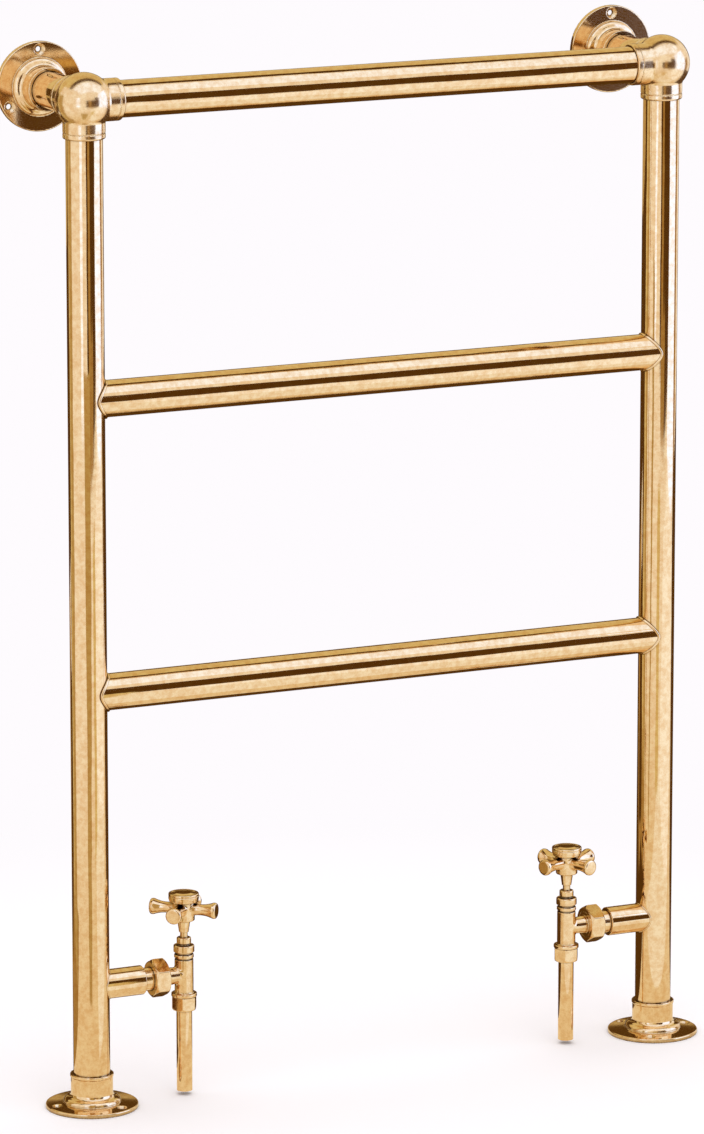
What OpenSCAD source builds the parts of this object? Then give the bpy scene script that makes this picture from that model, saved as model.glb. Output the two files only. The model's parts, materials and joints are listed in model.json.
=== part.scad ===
// Heated towel rail for a wet heating circuit: ball jointed, floor standing and stayed to the wall.
// Sizes are in millimetres. X = 0 lies half way between the uprights, Z = 0 is the floor,
// Y = 0 is the middle of the depth, and the wall is on the +Y side.
// Screw threads are drawn as plain cylinders with a small clearance.

/* [Frame] */
// Distance between the axes of the two uprights
upright_spacing = 600; // [450:10:800]
// Height of the top bar's axis above the floor
top_bar_z = 962; // [860:2:1200]
// Distance between the axes of neighbouring bars
bar_pitch = 280; // [180:5:310]
// Distance from the uprights' axes to the wall
wall_reach = 110; // [100:1:160]

/* [Tubes] */
// Outside diameter of the tube that the uprights, bars and wall stems are cut from
tube_d = 35; // [32:0.5:36]
// Wall of that tube
tube_wall = 1.5; // [1:0.1:2.5]
// Diameter of the water ports in the uprights behind the bars
bar_port_d = 26; // [15:1:27]
// Height of the brazed plug's underside in the foot of each upright
plug_z = 88; // [50:1:92]
// Thickness of that plug
plug_t = 6; // [3:0.5:8]

/* [Ball joints] */
// Diameter of the ball
ball_d = 54; // [50:1:60]
// Wall of each neck round its tube
neck_wall = 2.45; // [2:0.05:3.5]
// How far each neck stands out beyond the ball
neck_out = 7.5; // [6:0.5:12]
// Radius of the rounding at the neck's mouth
neck_round = 1.8; // [0.5:0.1:1.9]
// Distance from the mouth to the turned groove
neck_groove_at = 5.5; // [4:0.5:6.5]
// Radius of that groove
neck_groove_r = 0.5; // [0.3:0.1:0.9]
// Metal between neighbouring sockets at their floors
socket_web = 1.45; // [1:0.05:3]
// Width of the shoulder that each tube stands on in its socket
socket_shoulder = 2; // [1:0.5:4]
// How much wider the ball's hollow is than its waterways, on the radius
ball_hollow = 1; // [0.5:0.5:3]

/* [Flanges] */
// Diameter of the wall flanges
wall_flange_d = 85; // [80:1:95]
// Diameter of the floor flanges
floor_flange_d = 88; // [82:1:95]
// Thickness of the flanges' plates
flange_plate = 4.5; // [4:0.5:6]
// Radius of the rounding on the plates' rims
rim_round = 1.8; // [0.5:0.1:2.5]
// Diameter of the raised step on each plate
step_d = 55; // [54:0.5:58]
// Height of the step above the mounting face
step_h = 10; // [8:0.5:12]
// Radius of the rounding on the step's edge
step_round = 1.4; // [0.5:0.1:1.6]
// Radius of the cove between step and collar
cove_r = 4.5; // [2:0.5:5]
// Wall of the collar round its tube
collar_wall = 2.5; // [2:0.1:3]
// How far the bead at the collar's mouth stands out
bead_out = 0.7; // [0.3:0.1:1.2]
// Height of that bead
bead_h = 3; // [2:0.2:4]
// Height of the wall flanges' collars above the wall
wall_collar_h = 28; // [26:1:36]
// Height of the floor flanges' collars above the floor
floor_collar_h = 33; // [26:1:40]
// Thickness of the inner lip that the tube's end stands on
lip_t = 2; // [1:0.5:4]
// Radial width of that lip
lip_w = 1.5; // [1:0.5:4]

/* [Flange screws] */
// Number of screw holes in each flange
screw_holes = 3; // [3:1:4]
// Diameter of the screw holes
screw_hole_d = 5; // [4:0.5:5.5]
// Diameter of the countersinks
countersink_d = 9.5; // [7:0.5:9.5]
// Pitch circle of the wall flanges' screw holes
wall_screw_pcd = 70; // [69:0.5:70]
// Pitch circle of the floor flanges' screw holes
floor_screw_pcd = 72; // [69:0.5:73]
// Diameter of the grub screws in the collars
grub_d = 4; // [3:0.5:5]
// Height of the grub screws above the mounting face
grub_h = 20; // [18.5:0.5:21]

/* [Valve stubs] */
// Height of the valve stubs' axis above the floor
valve_z = 118; // [116:1:130]
// Diameter of the stubs
stub_d = 28; // [26:0.5:30]
// Distance from the upright's axis to the stub's mouth
stub_reach = 52; // [50:1:70]
// Radius of the rounding at the stub's mouth
stub_round = 0.8; // [0.3:0.1:1]
// Diameter of the water port in the upright behind the stub
stub_port_d = 18; // [10:1:20]

/* [Unions] */
// Diameter of the union tail that screws into the stub
tail_d = 22; // [20:0.5:23]
// Bore of the union tail
tail_bore = 16; // [12:0.5:17]
// Length of the tail inside the stub
tail_engage = 14; // [10:1:18]
// Length of the tail that shows between stub and nut
tail_show = 9; // [6:0.5:14]
// Width of the union nut across its flats
union_af = 33; // [29.5:0.5:34]
// Length of the union nut
union_len = 15; // [13:0.5:24]
// Length of the chamfer on the hexagon nuts
nut_chamfer = 2.4; // [1:0.1:3]
// How far that chamfer cuts inside the flats at the nut's end
chamfer_inset = 0.3; // [0.1:0.1:0.6]
// Thickness of the union nut's inner lip
union_lip = 3; // [2:0.5:4]
// Outside diameter of the union's thread
union_thread_d = 25; // [24.5:0.1:26]
// Thickness of the flange at the tail's end
tail_flange_t = 2; // [1.5:0.1:3]
// Thickness of the union's sealing washer
union_washer_t = 1; // [0.5:0.1:1.5]

/* [Valve bodies] */
// Distance from the upright's axis to the valve's axis
valve_inset = 96; // [93:1:130]
// Diameter of the valve's barrel
barrel_d = 18; // [17.5:0.5:19]
// Bore of the valve's chamber
chamber_d = 14; // [13.5:0.5:15]
// Height of the barrel's top above the branch's axis
barrel_rise = 15.5; // [15:0.5:20]
// Depth of the barrel's foot below the branch's axis
barrel_drop = 17.5; // [17:0.5:20]
// Diameter of the branch where it meets the barrel
branch_root_d = 14.5; // [14:0.5:17]
// Diameter of the branch where it meets the union nut
branch_end_d = 17.5; // [15:0.5:19]
// Bore of the branch
branch_bore = 10; // [6:0.5:11]
// Diameter of the collar at the barrel's foot
foot_d = 24.5; // [24:0.5:27]
// Height of that collar
foot_h = 3.5; // [2:0.5:5]
// Bore of the valve's seat
seat_bore = 10; // [7:0.5:10]
// Height of the raised seat
seat_rise = 1; // [0.5:0.1:1.5]
// Width of the raised seat's ring
seat_ring_w = 1.2; // [0.8:0.1:1.4]
// Height of the metal between the branch's bore and the floor of the chamber
web_drop = 4; // [3:0.5:4.5]

/* [Bonnets] */
// Depth of the bonnet's plug inside the barrel
bonnet_plug = 6.5; // [5:0.5:7]
// Diameter of the bonnet's lower ring
bonnet_low_d = 18.8; // [18.5:0.1:20]
// Height of the bonnet's lower ring
bonnet_low_h = 6; // [4:0.5:8]
// Diameter of the bonnet's upper ring
bonnet_top_d = 20; // [19:0.5:22]
// Height of the bonnet's upper ring
bonnet_top_h = 8; // [7:0.5:10]
// Radius of the rounding on the bonnet's upper ring
bonnet_round = 1.2; // [0.5:0.1:2]
// Height of the groove between the two rings
bonnet_groove_h = 0.6; // [0.3:0.1:1]
// Metal between the spindle's thread and the gland's bore
bonnet_web = 3.5; // [2.5:0.5:4]
// Diameter of the bore for the gland's packing
gland_bore = 10; // [9.5:0.5:11]
// Depth of that bore
gland_depth = 4.5; // [4:0.5:5]
// Height of the packing
packing_h = 3; // [2:0.5:3.5]
// Diameter of the gland nut's head
gland_d = 13.8; // [12.5:0.1:16]
// Height of the gland nut's head
gland_h = 6.3; // [4:0.1:8]
// Gap between the gland nut's head and the bonnet
gland_gap = 0.6; // [0.2:0.1:0.9]

/* [Spindles] */
// Diameter of the spindle's shaft
spindle_d = 7.2; // [6.4:0.1:7.6]
// Diameter of the spindle's thread
spindle_thread_d = 9; // [8.5:0.1:9.5]
// Height of the stop shoulder at the spindle's lower end
shoulder_h = 3; // [2:0.5:3.5]
// How far that shoulder stands out of the thread
shoulder_out = 1; // [0.5:0.1:1.4]
// Rise of the spindle from closed to fully open
lift = 5; // [3:0.5:5]
// Length of the spindle that shows between gland and handle
spindle_show = 5; // [2:0.5:10]
// Diameter of the valve disc
disc_d = 12.8; // [12.5:0.1:13]
// Thickness of the valve disc
disc_t = 3; // [2:0.1:3]
// Thickness of the rubber seat washer
seat_washer_t = 2; // [1:0.1:2]
// Diameter of the disc's stem
disc_stem_d = 4; // [3:0.1:4.6]
// Length of the disc's stem
disc_stem_h = 9; // [6:0.5:12]

/* [Handles] */
// Span of the cross handle from arm tip to arm tip
handle_span = 66; // [58:1:80]
// Diameter of each arm at its tip
arm_tip_d = 15.5; // [12:0.5:17]
// Diameter of each arm at the hub
arm_root_d = 10.6; // [8:0.2:11]
// Radius of the rounding at the arms' tips
arm_round = 1.6; // [0.5:0.1:2.5]
// Distance from the valve's axis to the arms' narrowest place
arm_waist_at = 17; // [15:0.5:19]
// Length of the flare from there towards the tip
arm_flare_len = 12.5; // [8:0.5:14]
// Diameter of the handle's hub
hub_d = 21; // [19:0.5:26]
// Height of the hub
hub_h = 19; // [18.5:0.5:24]
// Height of the arms' axis above the hub's underside
arm_rise = 11.5; // [9:0.5:13]
// Length of the flared neck below the hub
handle_neck_h = 11.5; // [8:0.5:16]
// Diameter of that neck at its lower end
handle_neck_d = 9.2; // [8.8:0.1:11]
// Diameter of that neck where it meets the hub
handle_neck_top_d = 12.5; // [12:0.5:16]
// Diameter of the handle's cap
cap_d = 29; // [24:0.5:34]
// Height of the cap's edge
cap_h = 8; // [5:0.5:11]
// Height of the dome on the cap
cap_dome = 1.2; // [0.5:0.1:3]
// Radius of the rounding on the cap's edge
cap_round = 1; // [0.3:0.1:2]
// Diameter of the spigot that holds the cap in the hub
cap_spigot_d = 13; // [11:0.5:14]
// Wall of that spigot
cap_spigot_wall = 1.5; // [1:0.1:2]
// Depth of the recess for that spigot in the hub
cap_recess = 4; // [3.5:0.1:5]
// Thickness of the hub's web under that recess
handle_web = 2; // [1.5:0.1:3]
// Diameter of the screw that holds the handle
handle_screw_d = 4; // [3:0.5:4.5]
// Diameter of that screw's head
handle_screw_head_d = 7.2; // [6:0.2:9]
// Length of that screw's shank
handle_screw_len = 11; // [8:0.5:14]
// Turn of the left handle's arms about the valve's axis
left_arm_angle = 48; // [0:1:90]
// Turn of the right handle's arms about the valve's axis
right_arm_angle = 20; // [0:1:90]

/* [Tail pipes] */
// Outside diameter of the tail pipes
pipe_d = 15; // [14.5:0.1:15.5]
// Wall of the tail pipes
pipe_wall = 0.7; // [0.5:0.1:1.2]
// How far the olive squeezes the pipe in, on the radius
pipe_squeeze = 0.25; // [0.2:0.05:0.3]
// Height of the tail pipes' open ends above the floor
pipe_end_z = 4; // [2:1:40]
// Length of the pipe inside the valve's body above its mouth
pipe_engage = 17; // [15:0.5:17]
// Width of the compression nut across its flats
comp_af = 22; // [21.5:0.5:25]
// Length of the compression nut
comp_len = 13.3; // [12:0.1:16]
// Diameter of the valve body's spigot inside that nut
spigot_d = 19; // [18.5:0.1:19.5]
// Length of that spigot
spigot_len = 9; // [7:0.5:9.5]
// Height of the olive
olive_h = 3; // [2:0.1:3.2]
// Wall of the olive at its thin end
olive_lip = 0.3; // [0.2:0.1:0.6]
// Clearance between the olive and the nut, on the radius
olive_gap = 0.6; // [0.3:0.1:0.8]
// Clearance of the pipe in the nut's mouth, on the radius
nut_mouth_gap = 0.2; // [0.1:0.05:0.5]

/* [Air vent] */
// Distance of the air vent from the right upright's axis
vent_inset = 60; // [48:1:120]
// Width of the vent body across its flats
vent_af = 12; // [10:0.5:14]
// How far the vent body stands out of the bar
vent_out = 8; // [6:0.5:12]
// Diameter of the vent's thread
vent_thread_d = 9; // [8:0.5:9.5]
// Diameter of the vent screw
vent_screw_d = 4; // [3:0.5:4.5]
// Side of the vent screw's square head
vent_square = 5; // [4.5:0.5:6]
// Height of the vent screw's square head
vent_square_h = 5; // [4:0.5:7]
// Length of the chamfer on the vent body's end
vent_chamfer = 1; // [0.5:0.1:2]

/* [Clearances] */
// Clearance of brazed, soldered and screwed joints, on the radius
joint_gap = 0.05; // [0.02:0.01:0.1]
// Clearance of turning and sliding fits, on the radius
run_gap = 0.05; // [0.02:0.01:0.1]
// Clearance between faces that turn against each other
face_gap = 0.1; // [0.05:0.01:0.2]

/* [Colours] */
// Polished brass of the frame
brass = "#d8a95e"; // [#d8a95e, #c9a04f, #e2bb78]
// Cast brass of the valves
valve_brass = "#dcb06a"; // [#dcb06a, #c9a04f, #e2bb78]
// Rubber of the washers
rubber = "#22211f"; // [#22211f, #3a3835]
// White packing of the gland
packing_white = "#e9e6dc"; // [#e9e6dc, #d8d3c4]
// Soft copper of the olives
copper = "#b9764a"; // [#b9764a, #a8683f]
// Steel of the small screws
steel = "#8f8d88"; // [#8f8d88, #6f6d68]

/* [Hidden] */
$fn = 96;

// How far a cut runs past the face that it opens
over = 1;

// Uprights and the wall, about the middle of the depth
upright_y = (floor_flange_d / 2 - wall_reach) / 2;
tube_r = tube_d / 2;
socket_r = tube_r + joint_gap;
neck_r = socket_r + neck_wall;
neck_mouth = ball_d / 2 + neck_out;
socket_floor = socket_r + socket_web;
waterway_r = tube_r - tube_wall - socket_shoulder;
collar_r = socket_r + collar_wall;
bar_heights = [top_bar_z, top_bar_z - bar_pitch, top_bar_z - 2 * bar_pitch];

// Union, measured from the upright's axis
union_start = stub_reach + tail_show;
tail_flange_at = union_start + union_lip;
tail_end = tail_flange_at + tail_flange_t;
branch_start = tail_end + union_washer_t;
union_end = union_start + union_len;
branch_thread_end = union_end - joint_gap;
union_thread_r = union_thread_d / 2;

// Valve heights, measured from the branch's axis
foot_z = -barrel_drop - foot_h;
mouth_z = foot_z - spigot_len;
pipe_stop = mouth_z + pipe_engage;
web_top = -branch_bore / 2 - web_drop;
seat_z = web_top + seat_rise;
washer_z = seat_z + run_gap;
disc_z = washer_z + seat_washer_t;
disc_top = disc_z + disc_t;
spindle_z = disc_top + face_gap;
thread_z = spindle_z + shoulder_h;
bonnet_plug_z = barrel_rise - bonnet_plug;
bonnet_top = barrel_rise + bonnet_low_h + bonnet_groove_h + bonnet_top_h;
gland_floor = bonnet_top - gland_depth;
thread_top = gland_floor - bonnet_web - lift;
gland_base = gland_floor + packing_h;
gland_seat = bonnet_top + gland_gap;
gland_top = gland_seat + gland_h;
shaft_bore_r = spindle_d / 2 + run_gap;
handle_z = gland_top + spindle_show;
hub_z = handle_z + handle_neck_h;
hub_top = hub_z + hub_h;
spindle_top = hub_top - cap_recess - handle_web;
screw_z = spindle_top + handle_web - handle_screw_len;
arm_z = hub_z + arm_rise;
arm_flare_depth = (arm_tip_d - arm_root_d) / 2;
arm_flare_r = (pow(arm_flare_len, 2) + pow(arm_flare_depth, 2)) / (2 * arm_flare_depth);
arm_inside = 3;

// Radii of the pipe, its sockets and its compression nut
pipe_r = pipe_d / 2;
squeezed_r = pipe_r - pipe_squeeze;
pipe_socket_r = squeezed_r + joint_gap;
comp_z = foot_z - joint_gap - comp_len;

// A ring or tube between two radii, standing on z = 0
module ring(outer_r, inner_r, h) {
    difference() {
        cylinder(r = outer_r, h = h);
        translate([0, 0, -over]) cylinder(r = inner_r, h = h + 2 * over);
    }
}

// Half section of a disc on z = 0 whose upper edge is rounded
module disc_section(r, h, edge) {
    square([r - edge, h]);
    square([r, h - edge]);
    translate([r - edge, h - edge]) circle(edge);
}

// A hexagon bar along z, with its corners chamfered at the ends whose chamfer is more than 0
module hexagon(flats, h, low, high) {
    corner_r = flats / 2 / cos(30);
    face_r = flats / 2 - chamfer_inset;
    wide_r = corner_r + over;
    slope = (wide_r - face_r) / (corner_r - face_r);
    bottom = low > 0 ? [[face_r, 0], [wide_r, low * slope]] : [[wide_r, 0]];
    top = high > 0 ? [[wide_r, h - high * slope], [face_r, h]] : [[wide_r, h]];
    intersection() {
        cylinder(r = corner_r, h = h, $fn = 6);
        rotate_extrude() polygon(concat([[0, 0]], bottom, top, [[0, h]]));
    }
}

// The right side is drawn at its upright's axis, with the rail's middle towards -X
module on_right() {
    translate([upright_spacing / 2, upright_y, 0]) children();
}

module on_left() {
    mirror([1, 0, 0]) on_right() children();
}

// Turns a shape that is drawn along +Z to run along -X, towards the rail's middle
module inward() {
    rotate([0, -90, 0]) children();
}

// Turns a shape that is drawn along +Z to run along +Y, towards the wall
module backward() {
    rotate([-90, 0, 0]) children();
}

// Puts a shape at the ball's centre
module at_ball() {
    translate([0, 0, top_bar_z]) children();
}

// Puts a shape at the crossing of the valve's axis and the branch's axis
module at_valve() {
    translate([-valve_inset, 0, valve_z]) children();
}

// Lays a shape along the stub's axis, drawn from the upright's axis along +Z
module along_stub() {
    translate([0, 0, valve_z]) inward() children();
}

module upright() {
    tube_top = top_bar_z - socket_floor;
    color(brass) difference() {
        translate([0, 0, lip_t]) ring(tube_r, tube_r - tube_wall, tube_top - lip_t);
        for (z = [bar_heights[1], bar_heights[2]])
            translate([0, 0, z]) inward() cylinder(d = bar_port_d, h = tube_r + over);
        along_stub() cylinder(d = stub_port_d, h = tube_r + over);
    }
}

module top_bar() {
    length = upright_spacing - 2 * socket_floor;
    color(brass) difference() {
        translate([length / 2, upright_y, top_bar_z]) inward() ring(tube_r, tube_r - tube_wall, length);
        translate([upright_spacing / 2 - vent_inset, upright_y, top_bar_z]) backward()
            cylinder(r = vent_thread_d / 2 + joint_gap, h = tube_r + over);
    }
}

// A bar whose ends are coped to fit round the uprights
module coped_bar(z) {
    color(brass) difference() {
        translate([upright_spacing / 2, upright_y, z]) inward()
            ring(tube_r, tube_r - tube_wall, upright_spacing);
        for (side = [-1, 1])
            translate([side * upright_spacing / 2, upright_y, z - tube_d])
                cylinder(r = socket_r, h = 2 * tube_d);
    }
}

module middle_bar() {
    coped_bar(bar_heights[1]);
}

module lower_bar() {
    coped_bar(bar_heights[2]);
}

// One neck of a ball joint, drawn along +Z from the ball's centre
module neck() {
    rotate_extrude() difference() {
        disc_section(neck_r, neck_mouth, neck_round);
        translate([neck_r, neck_mouth - neck_groove_at]) circle(neck_groove_r);
    }
}

// The socket for a tube, drawn along +Z from the ball's centre
module socket() {
    translate([0, 0, socket_floor]) cylinder(r = socket_r, h = neck_mouth - socket_floor + over);
}

module ball_joint() {
    color(brass) at_ball() difference() {
        union() {
            sphere(d = ball_d);
            rotate([180, 0, 0]) neck();
            inward() neck();
            backward() neck();
        }
        rotate([180, 0, 0]) socket();
        inward() socket();
        backward() socket();
        sphere(r = waterway_r + ball_hollow);
        rotate([180, 0, 0]) cylinder(r = waterway_r, h = socket_floor + over);
        inward() cylinder(r = waterway_r, h = socket_floor + over);
    }
}

module wall_stem() {
    color(brass) at_ball() translate([0, socket_floor, 0]) backward()
        ring(tube_r, tube_r - tube_wall, wall_reach - lip_t - socket_floor);
}

// Half section of a flange that stands on its mounting face, z = 0
module flange_section(d, collar_h) {
    difference() {
        union() {
            disc_section(d / 2, flange_plate, rim_round);
            disc_section(step_d / 2, step_h, step_round);
            square([collar_r, collar_h - bead_h / 2]);
            translate([0, collar_h - bead_h]) disc_section(collar_r + bead_out, bead_h, bead_out);
            difference() {
                translate([collar_r - over, step_h - over]) square(cove_r + over);
                translate([collar_r + cove_r, step_h + cove_r]) circle(cove_r);
            }
        }
        translate([0, lip_t]) square([socket_r, collar_h]);
        translate([0, -over]) square([tube_r - lip_w, lip_t + 2 * over]);
    }
}

// A flange with countersunk holes, the first one at the angle first, and a tapped hole along +Y
module flange(d, collar_h, pcd, first) {
    sink = (countersink_d - screw_hole_d) / 2;
    difference() {
        rotate_extrude() flange_section(d, collar_h);
        for (i = [0 : screw_holes - 1]) rotate(first + i * 360 / screw_holes) translate([pcd / 2, 0, 0]) {
            translate([0, 0, -over]) cylinder(d = screw_hole_d, h = flange_plate + 2 * over);
            translate([0, 0, flange_plate - sink])
                cylinder(d1 = screw_hole_d, d2 = countersink_d, h = sink);
            translate([0, 0, flange_plate - run_gap]) cylinder(d = countersink_d, h = over);
        }
        translate([0, 0, grub_h]) backward() cylinder(r = grub_d / 2 + joint_gap, h = collar_r + over);
    }
}

// The face of a wall flange lies on the wall, and its collar points to the ball
module wall_side() {
    at_ball() translate([0, wall_reach, 0]) rotate([90, 0, 0]) children();
}

module wall_flange() {
    color(brass) wall_side() rotate(180) flange(wall_flange_d, wall_collar_h, wall_screw_pcd, 270);
}

module floor_flange() {
    color(brass) flange(floor_flange_d, floor_collar_h, floor_screw_pcd, 0);
}

module grub_screw() {
    translate([0, tube_r + face_gap, grub_h]) backward() difference() {
        cylinder(d = grub_d, h = collar_wall - face_gap);
        translate([0, 0, collar_wall / 2]) cylinder(d = grub_d / 2, h = collar_wall, $fn = 6);
    }
}

module side_grub_screws() {
    grub_screw();
    wall_side() rotate(180) grub_screw();
}

module flange_grub_screws() {
    color(steel) {
        on_left() side_grub_screws();
        on_right() side_grub_screws();
    }
}

module foot_plug() {
    color(brass) translate([0, 0, plug_z]) cylinder(r = tube_r - tube_wall - joint_gap, h = plug_t);
}

module valve_stub() {
    color(brass) difference() {
        along_stub() rotate_extrude() difference() {
            disc_section(stub_d / 2, stub_reach, stub_round);
            translate([0, -over]) square([tail_d / 2 + joint_gap, stub_reach + 2 * over]);
        }
        translate([0, 0, valve_z - stub_d]) cylinder(r = socket_r, h = 2 * stub_d);
    }
}

module union_tail() {
    start = stub_reach - tail_engage;
    color(valve_brass) along_stub() difference() {
        union() {
            translate([0, 0, start]) cylinder(d = tail_d, h = tail_end - start);
            translate([0, 0, tail_flange_at]) cylinder(r = union_thread_r - joint_gap, h = tail_flange_t);
        }
        translate([0, 0, start - over]) cylinder(d = tail_bore, h = tail_end - start + 2 * over);
    }
}

module union_nut() {
    color(valve_brass) along_stub() translate([0, 0, union_start]) difference() {
        hexagon(union_af, union_len, nut_chamfer, nut_chamfer);
        translate([0, 0, -over]) cylinder(r = tail_d / 2 + joint_gap, h = union_lip + 2 * over);
        translate([0, 0, union_lip]) cylinder(r = union_thread_r + joint_gap, h = union_len);
    }
}

module union_washer() {
    color(rubber) along_stub() translate([0, 0, tail_end])
        ring(union_thread_r - joint_gap, tail_bore / 2, union_washer_t);
}

// The body's outside turned about the valve's axis
module barrel_outside() {
    translate([0, 0, -barrel_drop - over]) cylinder(d = barrel_d, h = barrel_drop + barrel_rise + over);
    translate([0, 0, foot_z]) cylinder(d = foot_d, h = foot_h);
    translate([0, 0, mouth_z]) cylinder(d = spigot_d, h = spigot_len + over);
}

// The body's side branch with the union's male thread, drawn along the stub's axis
module branch_outside() {
    translate([0, 0, branch_start]) cylinder(r = union_thread_r, h = branch_thread_end - branch_start);
    translate([0, 0, branch_thread_end - over])
        cylinder(d1 = branch_end_d, d2 = branch_root_d, h = valve_inset - branch_thread_end + over);
}

module valve_body() {
    color(valve_brass) difference() {
        union() {
            at_valve() barrel_outside();
            along_stub() branch_outside();
        }
        along_stub() translate([0, 0, branch_start - over])
            cylinder(d = branch_bore, h = valve_inset - branch_start + over);
        at_valve() {
            translate([0, 0, mouth_z - over]) cylinder(r = pipe_socket_r, h = pipe_engage + over);
            translate([0, 0, pipe_stop - over]) cylinder(d = seat_bore, h = seat_z - pipe_stop + 2 * over);
            translate([0, 0, seat_z]) cylinder(d = chamber_d, h = barrel_rise - seat_z + over);
            translate([0, 0, web_top]) ring(chamber_d / 2, seat_bore / 2 + seat_ring_w, seat_rise + over);
        }
    }
}

module bonnet() {
    groove_z = barrel_rise + bonnet_low_h;
    thread_reach = thread_top + lift + run_gap - bonnet_plug_z;
    color(valve_brass) at_valve() difference() {
        union() {
            translate([0, 0, bonnet_plug_z])
                cylinder(r = chamber_d / 2 - joint_gap, h = bonnet_plug + over);
            translate([0, 0, barrel_rise]) rotate_extrude()
                disc_section(bonnet_low_d / 2, bonnet_low_h, bonnet_round / 2);
            translate([0, 0, groove_z - over])
                cylinder(d = bonnet_low_d - 2 * bonnet_round, h = bonnet_groove_h + 2 * over);
            translate([0, 0, groove_z + bonnet_groove_h]) rotate_extrude()
                disc_section(bonnet_top_d / 2, bonnet_top_h, bonnet_round);
        }
        translate([0, 0, bonnet_plug_z - over])
            cylinder(r = spindle_thread_d / 2 + run_gap, h = thread_reach + over);
        translate([0, 0, bonnet_plug_z])
            cylinder(r = shaft_bore_r, h = bonnet_top - bonnet_plug_z);
        translate([0, 0, gland_floor]) cylinder(d = gland_bore, h = gland_depth + over);
    }
}

module gland_packing() {
    color(packing_white) at_valve() translate([0, 0, gland_floor])
        ring(gland_bore / 2 - joint_gap, shaft_bore_r, packing_h);
}

module gland_nut() {
    color(valve_brass) at_valve() difference() {
        union() {
            translate([0, 0, gland_base])
                cylinder(r = gland_bore / 2 - joint_gap, h = gland_seat - gland_base + over);
            translate([0, 0, gland_seat]) rotate_extrude() disc_section(gland_d / 2, gland_h, bonnet_round);
        }
        translate([0, 0, gland_base - over])
            cylinder(r = shaft_bore_r, h = gland_top - gland_base + 2 * over);
    }
}

module valve_disc() {
    color(valve_brass) at_valve() {
        translate([0, 0, disc_z]) cylinder(d = disc_d, h = disc_t);
        translate([0, 0, disc_z]) cylinder(d = disc_stem_d, h = disc_t + disc_stem_h);
        translate([0, 0, washer_z - over]) cylinder(d = disc_stem_d, h = seat_washer_t + 2 * over);
    }
}

module seat_washer() {
    color(rubber) at_valve() translate([0, 0, washer_z])
        ring(disc_d / 2, disc_stem_d / 2 + joint_gap, seat_washer_t);
}

module spindle() {
    color(valve_brass) at_valve() difference() {
        union() {
            translate([0, 0, spindle_z]) cylinder(r = spindle_thread_d / 2 + shoulder_out, h = shoulder_h);
            translate([0, 0, spindle_z]) cylinder(d = spindle_thread_d, h = thread_top - spindle_z);
            translate([0, 0, spindle_z]) cylinder(d = spindle_d, h = spindle_top - spindle_z);
        }
        translate([0, 0, spindle_z - over])
            cylinder(r = disc_stem_d / 2 + run_gap, h = disc_stem_h + 2 * over);
        translate([0, 0, screw_z - face_gap])
            cylinder(r = handle_screw_d / 2 + joint_gap, h = handle_screw_len);
    }
}

// One arm of the cross, turned about its own axis and drawn along +X
module handle_arm() {
    tip = handle_span / 2;
    root = hub_d / 2 - arm_inside;
    rotate([0, 90, 0]) rotate_extrude() difference() {
        intersection() {
            translate([0, root]) square([arm_tip_d / 2, tip - root]);
            disc_section(arm_tip_d / 2, tip, arm_round);
        }
        translate([arm_root_d / 2 + arm_flare_r, arm_waist_at]) circle(arm_flare_r);
    }
}

// Half section of the hub and its neck, turned about the valve's axis
module hub_section() {
    polygon([
        [0, handle_z], [handle_neck_d / 2, handle_z], [handle_neck_top_d / 2, hub_z],
        [hub_d / 2 - arm_round, hub_z], [hub_d / 2, hub_z + arm_round], [hub_d / 2, hub_top], [0, hub_top]
    ]);
}

module handle(angle) {
    color(valve_brass) at_valve() difference() {
        union() {
            rotate_extrude() hub_section();
            for (i = [0 : 3]) translate([0, 0, arm_z]) rotate(angle + 90 * i) handle_arm();
        }
        translate([0, 0, handle_z - over])
            cylinder(r = spindle_d / 2 + joint_gap, h = spindle_top - handle_z + over);
        translate([0, 0, spindle_top - over])
            cylinder(r = handle_screw_d / 2 + joint_gap, h = handle_web + 2 * over);
        translate([0, 0, hub_top - cap_recess])
            cylinder(r = cap_spigot_d / 2 + joint_gap, h = cap_recess + over);
    }
}

module handle_cap() {
    top_r = cap_d / 2 - cap_round;
    dome_r = (pow(top_r, 2) + pow(cap_dome, 2)) / (2 * cap_dome);
    spigot_h = cap_recess / 2;
    color(valve_brass) at_valve() translate([0, 0, hub_top]) {
        rotate_extrude() disc_section(cap_d / 2, cap_h, cap_round);
        translate([0, 0, cap_h - over]) intersection() {
            cylinder(r = top_r, h = cap_dome + over);
            translate([0, 0, over + cap_dome - dome_r]) sphere(r = dome_r);
        }
        translate([0, 0, -spigot_h])
            ring(cap_spigot_d / 2, cap_spigot_d / 2 - cap_spigot_wall, spigot_h + over);
    }
}

module handle_screw() {
    head_z = screw_z + handle_screw_len;
    head_h = cap_recess / 2;
    slot_w = handle_screw_d / 4;
    color(steel) at_valve() difference() {
        union() {
            translate([0, 0, screw_z]) cylinder(d = handle_screw_d, h = handle_screw_len + head_h / 2);
            translate([0, 0, head_z]) cylinder(d = handle_screw_head_d, h = head_h);
        }
        translate([-handle_screw_head_d, -slot_w / 2, head_z + head_h / 2])
            cube([2 * handle_screw_head_d, slot_w, head_h]);
    }
}

module tail_pipe() {
    bottom = pipe_end_z - valve_z;
    color(brass) at_valve() difference() {
        union() {
            translate([0, 0, bottom]) cylinder(r = pipe_r, h = comp_z - bottom);
            translate([0, 0, bottom]) cylinder(r = squeezed_r, h = pipe_stop - bottom);
        }
        translate([0, 0, bottom - over])
            cylinder(r = pipe_r - pipe_wall, h = pipe_stop - bottom + 2 * over);
    }
}

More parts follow.
